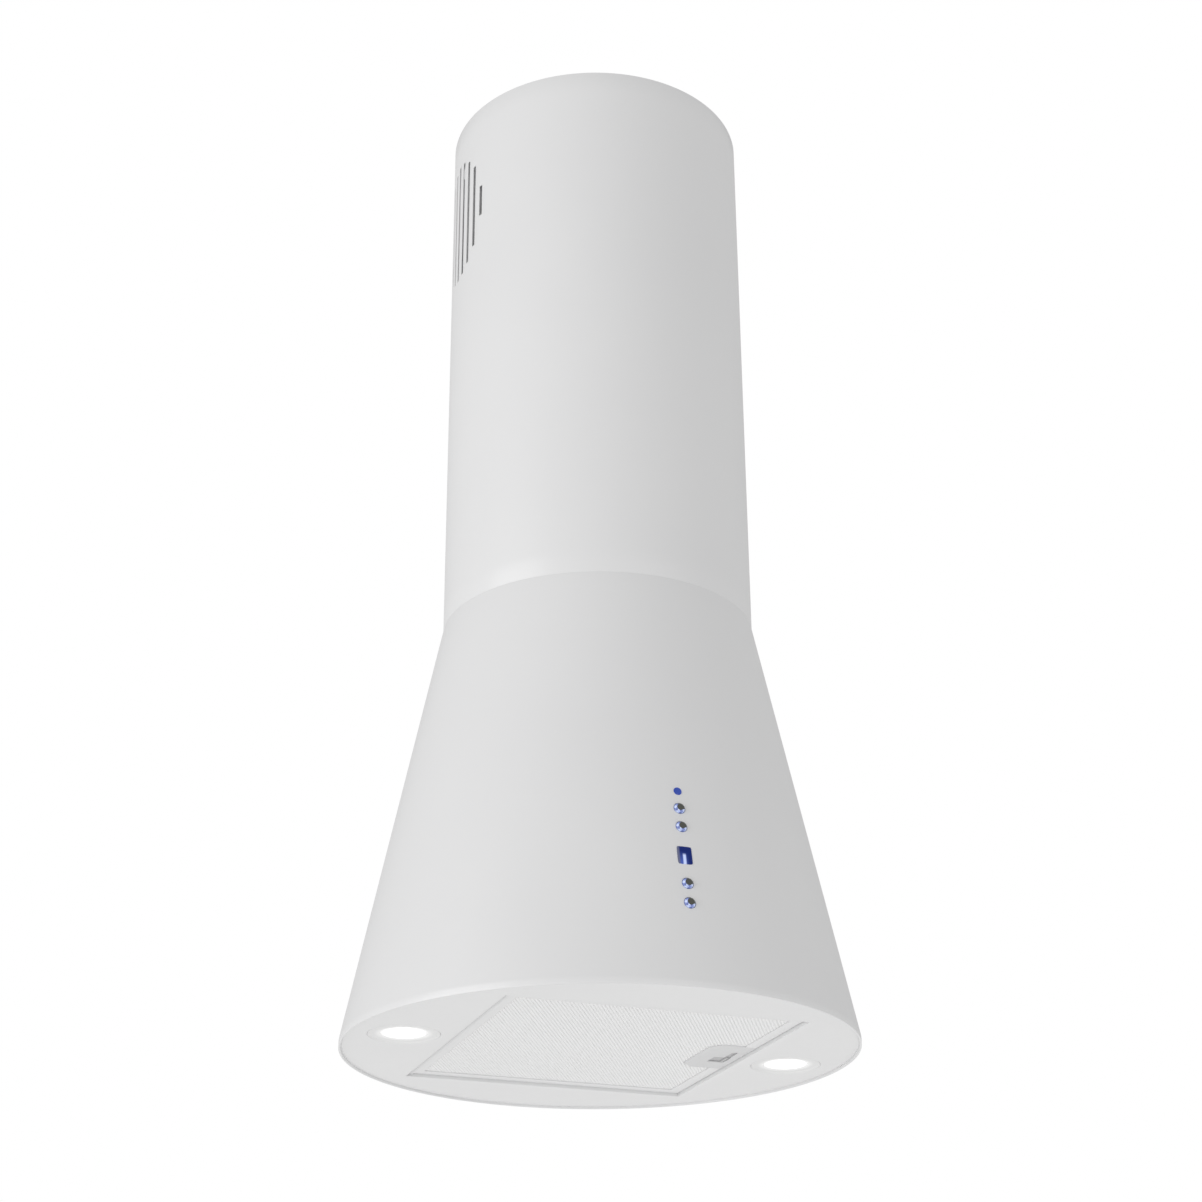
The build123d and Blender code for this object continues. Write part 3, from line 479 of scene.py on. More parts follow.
def makeCanopy(look):
    # The cone as angle across and height up, with a short round at the seam and at the hem; holes are
    # cut square to the front, their local sizes turned to angle by 1 / radius and to height by cos(lean).
    step = 2 * math.pi / look["columns"]
    front = -math.pi / 2
    coneTop, coneLow = seamZ - 2 * mm, hemZ + 2.5 * mm
    wide = 8.5 * mm  # half width of the finer strip that the holes are cut in
    spots = [(h, roundOutline(look["buttonHole"]), 6.6 * mm) for h in look["buttons"]]
    spots.append((look["dot"], roundOutline(look["dotHole"]), 5.2 * mm))
    spots.append((look["display"], boxyOutline(*look["displayHole"]), 9.5 * mm))
    marks = [rimZ + h + s * tall for h, _, tall in spots for s in (-1, -0.5, 0, 0.5, 1)]
    heights = np.unique(np.round(np.concatenate([
        np.linspace(coneTop, rimZ + 158 * mm, 16), np.linspace(rimZ + 55 * mm, coneLow, 6), marks,
    ]), 7))[::-1]
    fine = np.linspace(-wide, wide, 9) / coneR(rimZ + 100 * mm) + front
    around = np.linspace(front + 2 * step, front + 2 * math.pi - 2 * step, look["columns"] - 3)
    turns = np.concatenate([fine, around])
    turnGrid, zGrid = np.meshgrid(turns, heights)
    flat = np.stack([turnGrid, zGrid], -1)
    holes = []
    for h, outline, tall in spots:
        z = rimZ + h
        j0 = int(np.argmin(np.abs(heights - (z + tall))))
        j1 = int(np.argmin(np.abs(heights - (z - tall))))
        scale = np.array([1 / coneR(z), math.cos(coneLean)])
        holes.append((np.array([front, z]), scale, outline, (j0, j1), (0, 8)))
    points, faces, _ = punch(flat, len(heights), len(turns), True, holes)
    radius = coneR(points[:, 1])
    cone = np.stack([radius * np.cos(points[:, 0]), radius * np.sin(points[:, 0]), points[:, 1]], -1)
    top = softCorners(
        [(look["flange"], seamZ), (coverR - 0.1 * mm, seamZ), (coneR(coneTop), coneTop)],
        [0, look["seamRound"], 0], 5, False)[:-1]
    foot = softCorners(
        [(coneR(coneLow), coneLow), (rimR, hemZ), (rimR, rimZ + 0.05 * mm)],
        [0, look["hemRound"], 0], 7, False)[1:]

    def band(profile):
        r, z = profile[:, 0:1], profile[:, 1:2]
        return np.stack([r * np.cos(turns), r * np.sin(turns), z + 0 * turns], -1).reshape(-1, 3)

    cols, base = len(turns), len(cone)
    everything = np.concatenate([cone, band(top), band(foot)])
    firstRow = np.arange(cols)
    lastRow = np.arange(cols) + (len(heights) - 1) * cols
    topRows = [base + k * cols + firstRow for k in range(len(top))] + [firstRow]
    footStart = base + len(top) * cols
    footRows = [lastRow] + [footStart + k * cols + firstRow for k in range(len(foot))]
    for run in (topRows, footRows):
        for a, b in zip(run, run[1:]):
            faces.append(np.stack([a, np.roll(a, -1), np.roll(b, -1), b], -1))
    flipped = [f[:, ::-1] for f in faces]
    piece = buildMesh("canopyShell", everything, flipped)
    return thicken(piece, look["wall"], 0.25 * mm)


dress(makeCanopy(canopy), whiteCoat, "hood", "white_coat", "canopy_shell")

# ring behind the hem, and the two thin fillings in the seam and between hem and panel
rings = {
    "canopyHem": (rimR - 1.5 * mm, rimR - 0.8 * mm, rimZ + 0.35 * mm, rimZ + 3.6 * mm, 0.2 * mm, 3),
    "seamBead": (coverR - 0.9 * mm, coverR - 0.07 * mm, seamZ - 0.45 * mm, seamZ + 0.45 * mm, 0.1 * mm, 2),
    "rimBead": (rimR - 2.6 * mm, rimR - 1.3 * mm, panelLow.z + 0.35 * mm, panelLow.z + 1.8 * mm, 0.1 * mm, 2),
}
for name, sizes in rings.items():
    dress(boxRing(name, *sizes), whiteCoat, "hood", "white_coat")
print("canopy made")


# Bottom panel

panel = {
    "wall": 0.8 * mm, "openX": 115 * mm, "openY": 128 * mm, "openRound": 2.5 * mm,
    "lampX": 152 * mm, "lampR": 26.9 * mm, "bend": 0.9 * mm, "turnUp": 2.2 * mm, "rimUp": 5 * mm, "lampUp": 2 * mm,
}


def makePanel(look):
    # Rings that slide from the opening's edge to the round rim, in x and y, at one height. The opening,
    # the rim and the two lamp holes turn up through a small quarter round: out by bend (1 - cos t),
    # up by bend (1 - sin t).
    low = panelLow.z
    rim = panelHigh.x - look["bend"]
    inner = rectangleRing(look["openX"] + look["bend"], look["openY"] + look["bend"], look["openRound"], 40, 5)
    cols = len(inner)
    turn = np.arctan2(inner[:, 1], inner[:, 0])
    outer = rim * np.stack([np.cos(turn), np.sin(turn)], -1)
    share = np.linspace(0, 1, 13)[:, None, None]
    flat = inner[None] * (1 - share) + outer[None] * share
    holes = []
    for side in (1, -1):
        facing = np.abs(np.angle(np.exp(1j * (turn - (0 if side > 0 else math.pi))))) < 0.25
        ids = np.where(facing)[0]
        if ids.max() - ids.min() > cols // 2:  # the run crosses the first column
            ids = np.where(ids > cols // 2, ids - cols, ids)
        first, last = int(ids.min()), int(ids.max())
        holes.append((side, first, last))
    shift = -min(0, min(first for _, first, _ in holes))
    flat = np.roll(flat, shift, axis=1)
    turn = np.roll(turn, shift)
    blocks = [
        (np.array([side * look["lampX"], 0.0]), np.array([1.0, 1.0]), roundOutline(look["lampR"] + look["bend"]),
         (1, 12), (first + shift, last + shift))
        for side, first, last in holes
    ]
    points, faces, lips = punch(flat, 13, cols, True, blocks)
    level = np.column_stack([points, np.full(len(points), low)])
    clouds, count = [level], len(level)

    def turnUp(ids, direction, rise):
        # quarter round and a short upright wall on a loop of points; direction is the way out of the sheet
        nonlocal count
        start = level[ids, :2]
        angles = np.linspace(0, math.pi / 2, 5)[1:]
        steps = [(look["bend"] * math.sin(t), look["bend"] * (1 - math.cos(t))) for t in angles]
        steps.append((look["bend"], rise))
        before = ids
        for out, up in steps:
            clouds.append(np.column_stack([start + direction * out, np.full(len(ids), low + up)]))
            after = np.arange(count, count + len(ids))
            count += len(ids)
            faces.append(np.stack([before, np.roll(before, -1), np.roll(after, -1), after], -1))
            before = after

    innerIds = np.arange(cols)
    flatInner = level[innerIds, :2]
    trim = rectangleRing(look["openX"], look["openY"], look["openRound"] - look["bend"], 40, 5)
    trim = np.roll(trim, shift, axis=0)
    way = (trim - flatInner) / look["bend"]
    turnUp(innerIds[::-1], way[::-1], look["turnUp"])
    outerIds = np.arange(cols) + 12 * cols
    radial = np.stack([np.cos(turn), np.sin(turn)], -1)
    turnUp(outerIds, radial, look["rimUp"])
    for (side, _, _), lip in zip(holes, lips):
        centre = np.array([side * look["lampX"], 0.0])
        way = centre - level[lip, :2]
        way /= np.linalg.norm(way, axis=1, keepdims=True)
        turnUp(lip, way, look["lampUp"])
    return buildMesh("bottomPanel", np.concatenate(clouds), faces)


def facingDown(piece):
    # makes neighbouring faces agree, then points the sheet's middle faces down
    sheetMesh = bmesh.new()
    sheetMesh.from_mesh(piece.data)
    bmesh.ops.remove_doubles(sheetMesh, verts=sheetMesh.verts, dist=1e-7)
    bmesh.ops.recalc_face_normals(sheetMesh, faces=sheetMesh.faces)
    sheetMesh.normal_update()
    biggest = max(sheetMesh.faces, key=lambda f: f.calc_area())
    if biggest.normal.z > 0:
        bmesh.ops.reverse_faces(sheetMesh, faces=sheetMesh.faces)
    sheetMesh.to_mesh(piece.data)
    sheetMesh.free()
    return piece


dress(thicken(facingDown(makePanel(panel)), panel["wall"]), whiteCoat, "hood", "white_coat", "bottom_panel")
print("bottom panel made")


# Grease filter

grease = {"border": 10 * mm, "wall": 0.8 * mm, "corner": 2.2 * mm, "pitch": 2.92 * mm, "hole": 0.78 * mm,
          "meshUp": 0.8 * mm, "meshWall": 0.5 * mm}
filterX, filterY = filterHigh.x, 126.5 * mm
filterBot, filterTop = filterLow.z, filterHigh.z
swingX, swingZ = -109 * mm, (filterBot + filterTop) / 2  # the filter's swing axis


def makeFilterFrame(look):
    # folded channel: outer wall with an inward flange below and above, carried round the filter's outline
    w, b, low, high = look["wall"], look["border"], filterBot, filterTop
    profile = softCorners(
        [(0, low), (b, low), (b, low + w), (w, low + w), (w, high - w), (b, high - w), (b, high), (0, high)],
        [1.8 * mm, 0.35 * mm, 0.3 * mm, 0.2 * mm, 0.2 * mm, 0.3 * mm, 0.35 * mm, 0.9 * mm], 4)
    piece = framePiece("filterFrame", filterX, filterY, look["corner"], profile)
    # the lower flange is cut back to a short lip where the latch plate sits
    count = len(piece.data.vertices)
    place = np.empty(count * 3, dtype=np.float32)
    piece.data.vertices.foreach_get("co", place)
    place = place.reshape(-1, 3)
    behind = (place[:, 0] > 100 * mm) & (np.abs(place[:, 1]) < 28 * mm) & (place[:, 2] < low + 1.2 * mm)
    place[behind, 0] = np.maximum(place[behind, 0], filterX - 1.2 * mm)
    piece.data.vertices.foreach_set("co", place.ravel())
    piece.data.update()
    return piece


dress(makeFilterFrame(grease), whiteCoat, "filter", "filter_coat", "filter_frame")


def makePivot(name, side):
    # stub pin: a profile of (radius, way out) turned about the swing axis
    pin = softCorners([(0, 0), (2.0 * mm, 0), (2.0 * mm, 5.2 * mm), (0, 5.2 * mm)], [0, 0, 0.5 * mm, 0], 4, False)
    turns = np.linspace(0, 2 * math.pi, 24, endpoint=False)
    r, out = pin[:, 0:1], pin[:, 1:2]
    ring = np.stack([swingX + r * np.cos(turns), side * (filterY - 0.4 * mm + out + 0 * turns),
                     swingZ + r * np.sin(turns)], -1)
    return closeUp(buildMesh(name, ring.reshape(-1, 3), [gridQuads(len(pin), 24, False, True)]))


dress(makePivot("filterPivotFront", -1), zincScrew, "filter", "filter_coat")
dress(makePivot("filterPivotBack", 1), zincScrew, "filter", "filter_coat")

gasket = {"gap": 0.16 * mm, "set": 0.3 * mm, "deep": 3.0 * mm, "outX": 116.4 * mm, "outY": 129 * mm}


def makeGasket(look):
    # pale strip along the far side and both ends of the filter's seat: a box section carried round a U
    x0, x1 = filterX + look["gap"], look["outX"]
    y0, y1 = filterY + look["gap"], look["outY"]
    start = -x1
    low = panelLow.z + look["set"]
    inner = np.array([(start, -y0), (x0, -y0), (x0, y0), (start, y0)])
    outer = np.array([(start, -y1), (x1, -y1), (x1, y1), (start, y1)])
    rows = []
    for flat, z in ((inner, low), (outer, low), (outer, low + look["deep"]), (inner, low + look["deep"])):
        rows.append(np.column_stack([flat, np.full(4, z)]))
    points = np.stack(rows, 1).reshape(-1, 3)
    quads = gridQuads(4, 4, False, True)
    ends = np.array([[3, 2, 1, 0], [12, 13, 14, 15]])
    return closeUp(buildMesh("seatGasket", points, [quads, ends]))


dress(makeGasket(gasket), whiteCoat, "hood", "white_coat")

roll = {"radius": 5.75 * mm, "wall": 0.8 * mm, "from": 128, "to": 250, "count": 25}


def makeRoll(look):
    # Pivot side of the filter: part of a round bar about the swing axis, x = axis + r cos(turn),
    # z = axis + r sin(turn), carried straight across, so that it turns in its own place.
    n = look["count"]
    turn = np.radians(np.linspace(look["from"], look["to"], n))
    r = np.repeat([look["radius"], look["radius"] - look["wall"]], n)
    turn = np.concatenate([turn, turn[::-1]])
    half = filterY - 0.3 * mm
    flat = np.stack([swingX + r * np.cos(turn), swingZ + r * np.sin(turn)], -1)
    rows = [np.insert(flat, 1, y, axis=1) for y in (-half, half)]
    k = np.arange(n - 1)
    caps = np.stack([k, k + 1, 2 * n - 2 - k, 2 * n - 1 - k], -1)
    quads = gridQuads(2, 2 * n, False, True)
    return closeUp(buildMesh("filterRoll", np.concatenate(rows), [quads, caps, caps + 2 * n]))


dress(makeRoll(roll), whiteCoat, "filter", "filter_coat")

# the latch plate: its outline and the lines that its stepped slot is cut on, across and along

well = {"x0": 78 * mm, "x1": 112.7 * mm, "halfY": 35 * mm, "chamfer": 9 * mm, "proud": 0.08 * mm,
        "slotX": (93 * mm, 101 * mm, 106 * mm, 107 * mm), "slotY": (16 * mm, 26 * mm), "tuck": 2.2 * mm}


def makeFilterMesh(name, look, side):
    # One half of the sheet. Holes on a 60-degree lattice, each in a hexagonal cell; the sheet is the ring
    # between the cell's six corners and the hole's six corners, front and back, with the hole's wall
    # between. Cells well under the latch plate are left out.
    pitch, low = look["pitch"], filterBot + look["meshUp"]
    halfX, halfY = filterX - look["border"] + 1.5 * mm, filterY - look["border"] + 1.5 * mm
    rowStep = pitch * math.sqrt(3) / 2
    rows, cols = int(2 * halfY / rowStep) + 1, int(2 * halfX / pitch) + 1
    j, i = np.meshgrid(np.arange(rows), np.arange(cols), indexing="ij")
    x = (i - (cols - 1) / 2 + (j % 2) * 0.5 - 0.25) * pitch
    y = (j - (rows - 1) / 2) * rowStep
    centre = np.stack([x.ravel(), y.ravel()], -1)
    centre = centre[(centre[:, 1] > 0) == (side > 0)]
    inX, inY = centre[:, 0] - well["x0"], well["halfY"] - np.abs(centre[:, 1])
    hidden = (inX > well["tuck"]) & (inY > well["tuck"]) & (inX + inY > well["chamfer"] + 4 * mm)
    centre = centre[~hidden]
    turn = np.radians(30 + 60 * np.arange(6))
    ring = np.stack([np.cos(turn), np.sin(turn)], -1)
    outer = centre[:, None] + ring[None] * pitch / math.sqrt(3)
    inner = centre[:, None] + ring[None] * look["hole"]
    n = len(centre)
    layers = []
    for flat, z in ((outer, low), (inner, low), (inner, low + look["meshWall"]), (outer, low + look["meshWall"])):
        layers.append(np.concatenate([flat, np.full((n, 6, 1), z)], -1).reshape(-1, 3))
    ids = np.arange(6 * n).reshape(n, 6)
    after = np.roll(ids, -1, axis=1)
    bands = []
    for k in range(3):
        a, b = ids + 6 * n * k, after + 6 * n * k
        bands.append(np.stack([a, a + 6 * n, b + 6 * n, b], -1).reshape(-1, 4))
    return buildMesh(name, np.concatenate(layers), bands, sharp=40)


for half, side in (("Front", -1), ("Back", 1)):
    meshPiece = closeUp(makeFilterMesh("filterMesh" + half, grease, side), 1e-6, False)
    print("mesh half, triangles", sum(len(p.vertices) - 2 for p in meshPiece.data.polygons))
    dress(meshPiece, meshCoat, "filter", "mesh_coat", "filter_mesh")


def makeLatchPlate(look):
    # A plate on an uneven grid of lines whose cells under the stepped slot are left out;
    # the two inner corners are cut off, and the wall turns up round edge and slot.
    low = filterBot - look["proud"]
    xs = np.array([look["x0"], look["x0"] + look["chamfer"], *look["slotX"], look["x1"]])
    half = np.array([*look["slotY"], look["halfY"]])
    ys = np.concatenate([-half[::-1], [0], half])
    xGrid, yGrid = np.meshgrid(xs, ys)
    points = np.stack([xGrid, yGrid, np.full_like(xGrid, low)], -1).reshape(-1, 3)
    quads = gridQuads(7, 7).reshape(6, 6, 4)
    keep = np.ones((6, 6), dtype=bool)
    keep[3, 2:5] = False   # wide part of the slot
    keep[2, 3] = False     # narrow part
    keep[0, 0] = keep[5, 0] = False
    corners = [quads[0, 0][[1, 2, 3]], quads[5, 0][[0, 1, 2]]]
    piece = buildMesh("latchPlate", points, [quads[keep], np.array(corners)])
    facingDown(piece)
    return thicken(piece, 1.3 * mm, 0.35 * mm, 3)


dress(makeLatchPlate(well), latchPlastic, "filter", "latch_grey", "latch_well")

spring = {"part": 3.0 * mm, "wire": 0.22 * mm, "fixedR": 1.72 * mm, "movingR": 1.16 * mm, "coilStep": 1.5 * mm}
springLow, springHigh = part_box("latch_spring")


def makeSpring(name, look, x0, x1, radius):
    # Round wire on a helix: x grows evenly with the turn while y and z go round the axis. There are two
    # short coils of different width, one on the filter and one on the slider; the slider's goes into the other.
    coils = (x1 - x0) / look["coilStep"]
    turn = np.linspace(0, 2 * math.pi * coils, int(24 * coils) + 1)[:, None]
    bend = np.linspace(0, 2 * math.pi, 8, endpoint=False)
    reach = radius + look["wire"] * np.cos(bend)
    points = np.stack([x0 + (x1 - x0) * turn / turn[-1] + look["wire"] * np.sin(bend), reach * np.cos(turn),
                       (springLow.z + springHigh.z) / 2 + reach * np.sin(turn)], -1)
    rows = len(turn)
    ends = np.array([np.arange(8), np.arange(8)[::-1] + 8 * (rows - 1)])
    return closeUp(buildMesh(name, points.reshape(-1, 3), [gridQuads(rows, 8, False, True), ends]))


x0, x1 = springLow.x + spring["wire"], springHigh.x - spring["wire"]
fixedHalf = makeSpring("springFixed", spring, x0, x0 + spring["part"], spring["fixedR"])
movingHalf = makeSpring("springMoving", spring, x1 - spring["part"], x1, spring["movingR"])
dress(fixedHalf, zincScrew, "filter", "screw", "latch_spring")
dress(movingHalf, zincScrew, "latch", "screw")
print("filter made")


# Lamps

lamp = {"ring": 26.7 * mm, "lens": 17.3 * mm, "sink": 0.25 * mm, "dish": 0.8 * mm, "glow": 4.0, "spill": 0.14}


def lampLight(name, spans, tone):
    # light that falls off with distance from the lamp's own middle, from one radius to the next: on the lens it is
    # the lamp's own glow, on the ring round it a painted spill of that light
    material, nodes, links, shader = newMaterial(name)
    setSockets(shader, {"Base Color": (*tone, 1)})
    unevenGloss(nodes, links, shader, 60, 3, 0.32, 0.4)
    setSockets(shader, {"Emission Color": (1.0, 0.995, 0.98, 1)})
    where = addNode(nodes, "ShaderNodeTexCoord")
    split = addNode(nodes, "ShaderNodeSeparateXYZ")
    links.new(where.outputs["Object"], split.inputs["Vector"])
    side = maths(nodes, links, "ABSOLUTE", split.outputs["X"])
    flat = addNode(nodes, "ShaderNodeCombineXYZ")
    links.new(maths(nodes, links, "SUBTRACT", side, panel["lampX"]), flat.inputs["X"])
    links.new(split.outputs["Y"], flat.inputs["Y"])
    length = addNode(nodes, "ShaderNodeVectorMath", operation="LENGTH")
    links.new(flat.outputs["Vector"], length.inputs[0])
    strength = addNode(nodes, "ShaderNodeMapRange", interpolation_type="SMOOTHSTEP")
    for socket, number in zip(("From Min", "From Max", "To Min", "To Max"), spans):
        strength.inputs[socket].default_value = number
    links.new(length.outputs["Value"], strength.inputs["Value"])
    links.new(strength.outputs["Result"], shader.inputs["Emission Strength"])
    return material


lensGlow = lampLight("lampLensGlow", (9.0 * mm, 16.8 * mm, lamp["glow"], lamp["spill"]), (0.9, 0.9, 0.9))
# the ring is no lamp: its glow next to the lens is painted spill light from the lamp
ringGlow = lampLight("lampRingPaintedSpill", (16.8 * mm, 22.5 * mm, lamp["spill"], 0.0), (0.79, 0.79, 0.79))
for side, x in (("left", -panel["lampX"]), ("right", panel["lampX"])):
    low = panelLow.z
    ringProfile = softCorners(
        [(lamp["lens"] + 0.1 * mm, low + 2.4 * mm), (lamp["lens"] + 0.1 * mm, low + 1.2 * mm),
         (lamp["lens"] + 1.5 * mm, low + 0.9 * mm), (lamp["ring"] - 1.6 * mm, low + lamp["dish"]),
         (lamp["ring"] - 1.0 * mm, low + lamp["sink"]), (lamp["ring"], low + lamp["sink"]),
         (lamp["ring"], low + 4.2 * mm), (lamp["lens"] - 1.7 * mm, low + 4.2 * mm),
         (lamp["lens"] - 1.7 * mm, low + 3.0 * mm)],
        [0.2 * mm, 0.3 * mm, 0.4 * mm, 0.3 * mm, 0.2 * mm, 0.4 * mm, 0.3 * mm, 0.3 * mm, 0.3 * mm], 4)
    dress(lathe("lampRing" + side.title(), ringProfile, (x, 0), 96), ringGlow, "hood", "lamp_ring",
          "lamp_bezel_" + side)
    lensProfile = softCorners(
        [(0.02 * mm, low + 0.75 * mm), (lamp["lens"] * 0.6, low + 0.9 * mm), (lamp["lens"], low + 1.3 * mm),
         (lamp["lens"], low + 2.8 * mm), (0.02 * mm, low + 2.8 * mm)],
        [0, 3 * mm, 0.4 * mm, 0.2 * mm, 0], 4, False)
    dress(lathe("lampLens" + side.title(), lensProfile, (x, 0), 96, closed=True), lensGlow, "hood", "lamp_lens",
          "lamp_lens_" + side)
print("lamps made")


# Controls on the front

def frontPlace(local, height):
    # local x across, y up the slope and z out of the canopy, put on the front at a height above the rim
    z = rimZ + height
    c, s = math.cos(coneLean), math.sin(coneLean)
    x, up, out = local[..., 0], local[..., 1], local[..., 2]
    return np.stack([x, -coneR(z) + up * s - out * c, z + up * c + out * s], -1)


# the dark and light tints are painted reflections for the facets, not the stone's own colour
gem = {"girdle": 4.2 * mm, "star": 3.55 * mm, "table": 2.6 * mm, "rise": (0.35 * mm, 1.3 * mm, 2.0 * mm),
       "sides": 10, "dark": (0.075, 0.077, 0.068),
       "light": ((0.42, 0.50, 0.82), (0.14, 0.18, 0.42), (0.62, 0.70, 0.92), (0.24, 0.30, 0.62))}


def makeGem(name, height, look):
    # Cut stone: rings of points at the girdle, the star line (turned half a side) and the table, joined by
    # triangles, over a short collar and a stem through the canopy. Painted reflections go to a colour per corner:
    # dark for the table and the facets up and to the right, pale and blue in turn for the others.
    n = look["sides"]
    turn = 2 * math.pi * np.arange(n) / n

    def ring(radius, level, shift=0.0):
        return np.stack([radius * np.cos(turn + shift), radius * np.sin(turn + shift), np.full(n, level)], -1)

    half = math.pi / n
    base = ring(look["girdle"], -1.9 * mm)
    low = ring(look["girdle"], look["rise"][0] - 0.25 * mm)
    girdle = ring(look["girdle"] * 0.985, look["rise"][0])
    star = ring(look["star"], look["rise"][1], half)
    table = ring(look["table"], look["rise"][2])
    points = np.concatenate([base, low, girdle, star, table, [[0, 0, -1.9 * mm]], [[0, 0, look["rise"][2]]]])
    k = np.arange(n)
    nxt = (k + 1) % n
    quads = np.concatenate([
        np.stack([k, nxt, nxt + n, k + n], -1),
        np.stack([k + n, nxt + n, nxt + 2 * n, k + 2 * n], -1),
    ])
    tris = np.concatenate([
        np.stack([k + 2 * n, nxt + 2 * n, k + 3 * n], -1),
        np.stack([k + 3 * n, nxt + 2 * n, nxt + 3 * n], -1),
        np.stack([k + 3 * n, nxt + 4 * n, k + 4 * n], -1),
        np.stack([k + 3 * n, nxt + 3 * n, nxt + 4 * n], -1),
        np.stack([nxt, k, np.full(n, 5 * n)], -1),
        np.stack([k + 4 * n, nxt + 4 * n, np.full(n, 5 * n + 1)], -1),
    ])
    piece = buildMesh(name, frontPlace(points, height), [quads, tris], sharp=None)
    middles = np.concatenate([points[quads].mean(1), points[tris].mean(1)])
    sides = np.concatenate([np.full(len(quads), 4), np.full(len(tris), 3)])
    # each facet's painted reflection: pale and blue in turn, dark for the table and the facets up and to the right
    paintedReflections = np.array(look["light"])[(np.arange(len(middles)) * 7) % len(look["light"])]
    table = middles[:, 2] > look["rise"][2] - 1e-6
    upRight = (middles[:, 0] + middles[:, 1] > 1.2 * mm) & (middles[:, 2] > 0)
    paintedReflections[table | upRight] = look["dark"]
    tint = piece.data.color_attributes.new("facetPaintedReflection", "FLOAT_COLOR", "CORNER")
    perFace = np.column_stack([paintedReflections, np.ones(len(paintedReflections))])
    tint.data.foreach_set("color", np.repeat(perFace, sides, axis=0).ravel())
    closeUp(piece)
    piece.data.polygons.foreach_set("use_smooth", np.zeros(len(piece.data.polygons), dtype=bool))
    return piece


def gemGlass(name):
    # stone under a clear polished face: each facet shows its painted reflection, which also glows faintly as
    # painted light
    material, nodes, links, shader = newMaterial(name)
    tint = addNode(nodes, "ShaderNodeAttribute", attribute_name="facetPaintedReflection")
    links.new(tint.outputs["Color"], shader.inputs["Base Color"])
    links.new(tint.outputs["Color"], shader.inputs["Emission Color"])
    unevenGloss(nodes, links, shader, 900, 1, 0.05, 0.14)
    # the faint glow of the facets' painted reflections is painted light; the stone is no lamp
    setSockets(shader, {"Emission Strength": 0.18, "Specular IOR Level": 0.3})
    return material


gemStone = gemGlass("gemStone")
for i, height in enumerate(canopy["buttons"]):
    dress(makeGem("gemButton%d" % (i + 1), height, gem), gemStone, "push_button_%d" % (i + 1), "crystal",
          "button_%d" % (i + 1))


# bevel is the colour of a painted highlight on the window's left edge
windowLook = {"navy": (0.001, 0.012, 0.13), "blue": (0.07, 0.12, 0.46), "bar": (0.58, 0.68, 1.0),
              "bevel": (0.13, 0.14, 0.22), "half": (5.5 * mm, 7.0 * mm), "power": 12, "back": -2.0 * mm,
              "rings": ((1.0, 0.05 * mm), (0.97, 0.25 * mm), (0.9, 0.38 * mm), (0.6, 0.5 * mm), (0.0, 0.55 * mm))}


def displayGlow(name, look):
    # navy window, bluer in its lower half, with a bright upright bar in its lower middle and a pale left edge that
    # is a painted highlight
    material, nodes, links, shader = newMaterial(name)
    where = addNode(nodes, "ShaderNodeTexCoord")
    split = addNode(nodes, "ShaderNodeSeparateXYZ")
    links.new(where.outputs["Object"], split.inputs["Vector"])
    across, height = split.outputs["X"], split.outputs["Z"]
    centre = rimZ + canopy["display"]
    bar = maths(nodes, links, "ABSOLUTE", maths(nodes, links, "ADD", across, 0.5 * mm))
    inBar = ramp(nodes, links, bar, 0.7 * mm, 1.5 * mm, 1, 0)
    below = ramp(nodes, links, height, centre - 0.2 * mm, centre + 1.6 * mm, 1, 0)
    lit = maths(nodes, links, "MULTIPLY", inBar, below)
    leftward = ramp(nodes, links, across, -1.5 * mm, 3.2 * mm, 0.9, 0.0)
    lower = ramp(nodes, links, height, centre - 5 * mm, centre + 3 * mm, 1, 0)
    wash = maths(nodes, links, "MULTIPLY", leftward, lower)
    tint = blendColours(nodes, links, wash, look["navy"], look["blue"])
    # painted highlight: the window's left edge is made paler, as if catching the light
    edge = ramp(nodes, links, across, -4.6 * mm, -3.4 * mm, 1, 0)

    def layer(under, factor, over):
        mix = addNode(nodes, "ShaderNodeMix", data_type="RGBA")
        mix.inputs["B"].default_value = (*over, 1)
        links.new(under, mix.inputs["A"])
        links.new(factor, mix.inputs["Factor"])
        return mix.outputs["Result"]

    tint = layer(tint, edge, look["bevel"])
    tint = layer(tint, lit, look["bar"])
    links.new(tint, shader.inputs["Emission Color"])
    setSockets(shader, {
        "Base Color": (0.004, 0.006, 0.02, 1), "Emission Strength": 0.95, "Specular IOR Level": 0.2,
    })
    unevenGloss(nodes, links, shader, 300, 1, 0.12, 0.2)
    return material


def makeWindow(name, look, height):
    # a pillow on a superellipse: rings shrink from the edge and rise by one less the square of their size
    turn = np.linspace(0, 2 * math.pi, 64, endpoint=False)
    edge = boxyOutline(*look["half"], look["power"])(turn)
    sizes = [(0.0, look["back"]), (1.0, look["back"]), *look["rings"]]
    local = np.concatenate([np.column_stack([edge * size, np.full(64, level)]) for size, level in sizes])
    return closeUp(buildMesh(name, frontPlace(local, height), [gridQuads(len(sizes), 64, False, True)]))


dress(makeWindow("displayWindow", windowLook, canopy["display"]), displayGlow("displayGlow", windowLook),
      "hood", "display", "display_window")


dot = {"radius": 3.05 * mm, "back": -2.0 * mm, "edge": 0.1 * mm, "dome": 0.9 * mm,
       "low": (0.022, 0.055, 0.32), "high": (0.045, 0.085, 0.40)}


def blueDot(name, look):
    # clear blue lens, lit from behind, its tone slightly uneven
    material, nodes, links, shader = newMaterial(name)
    tone = noiseOn(nodes, links, 300, 1)
    tint = blendColours(nodes, links, tone, look["low"], look["high"])
    links.new(tint, shader.inputs["Emission Color"])
    setSockets(shader, {
        "Base Color": (0.004, 0.008, 0.04, 1), "Emission Strength": 0.9, "Roughness": 0.15,
        "Specular IOR Level": 0.3,
    })
    return material


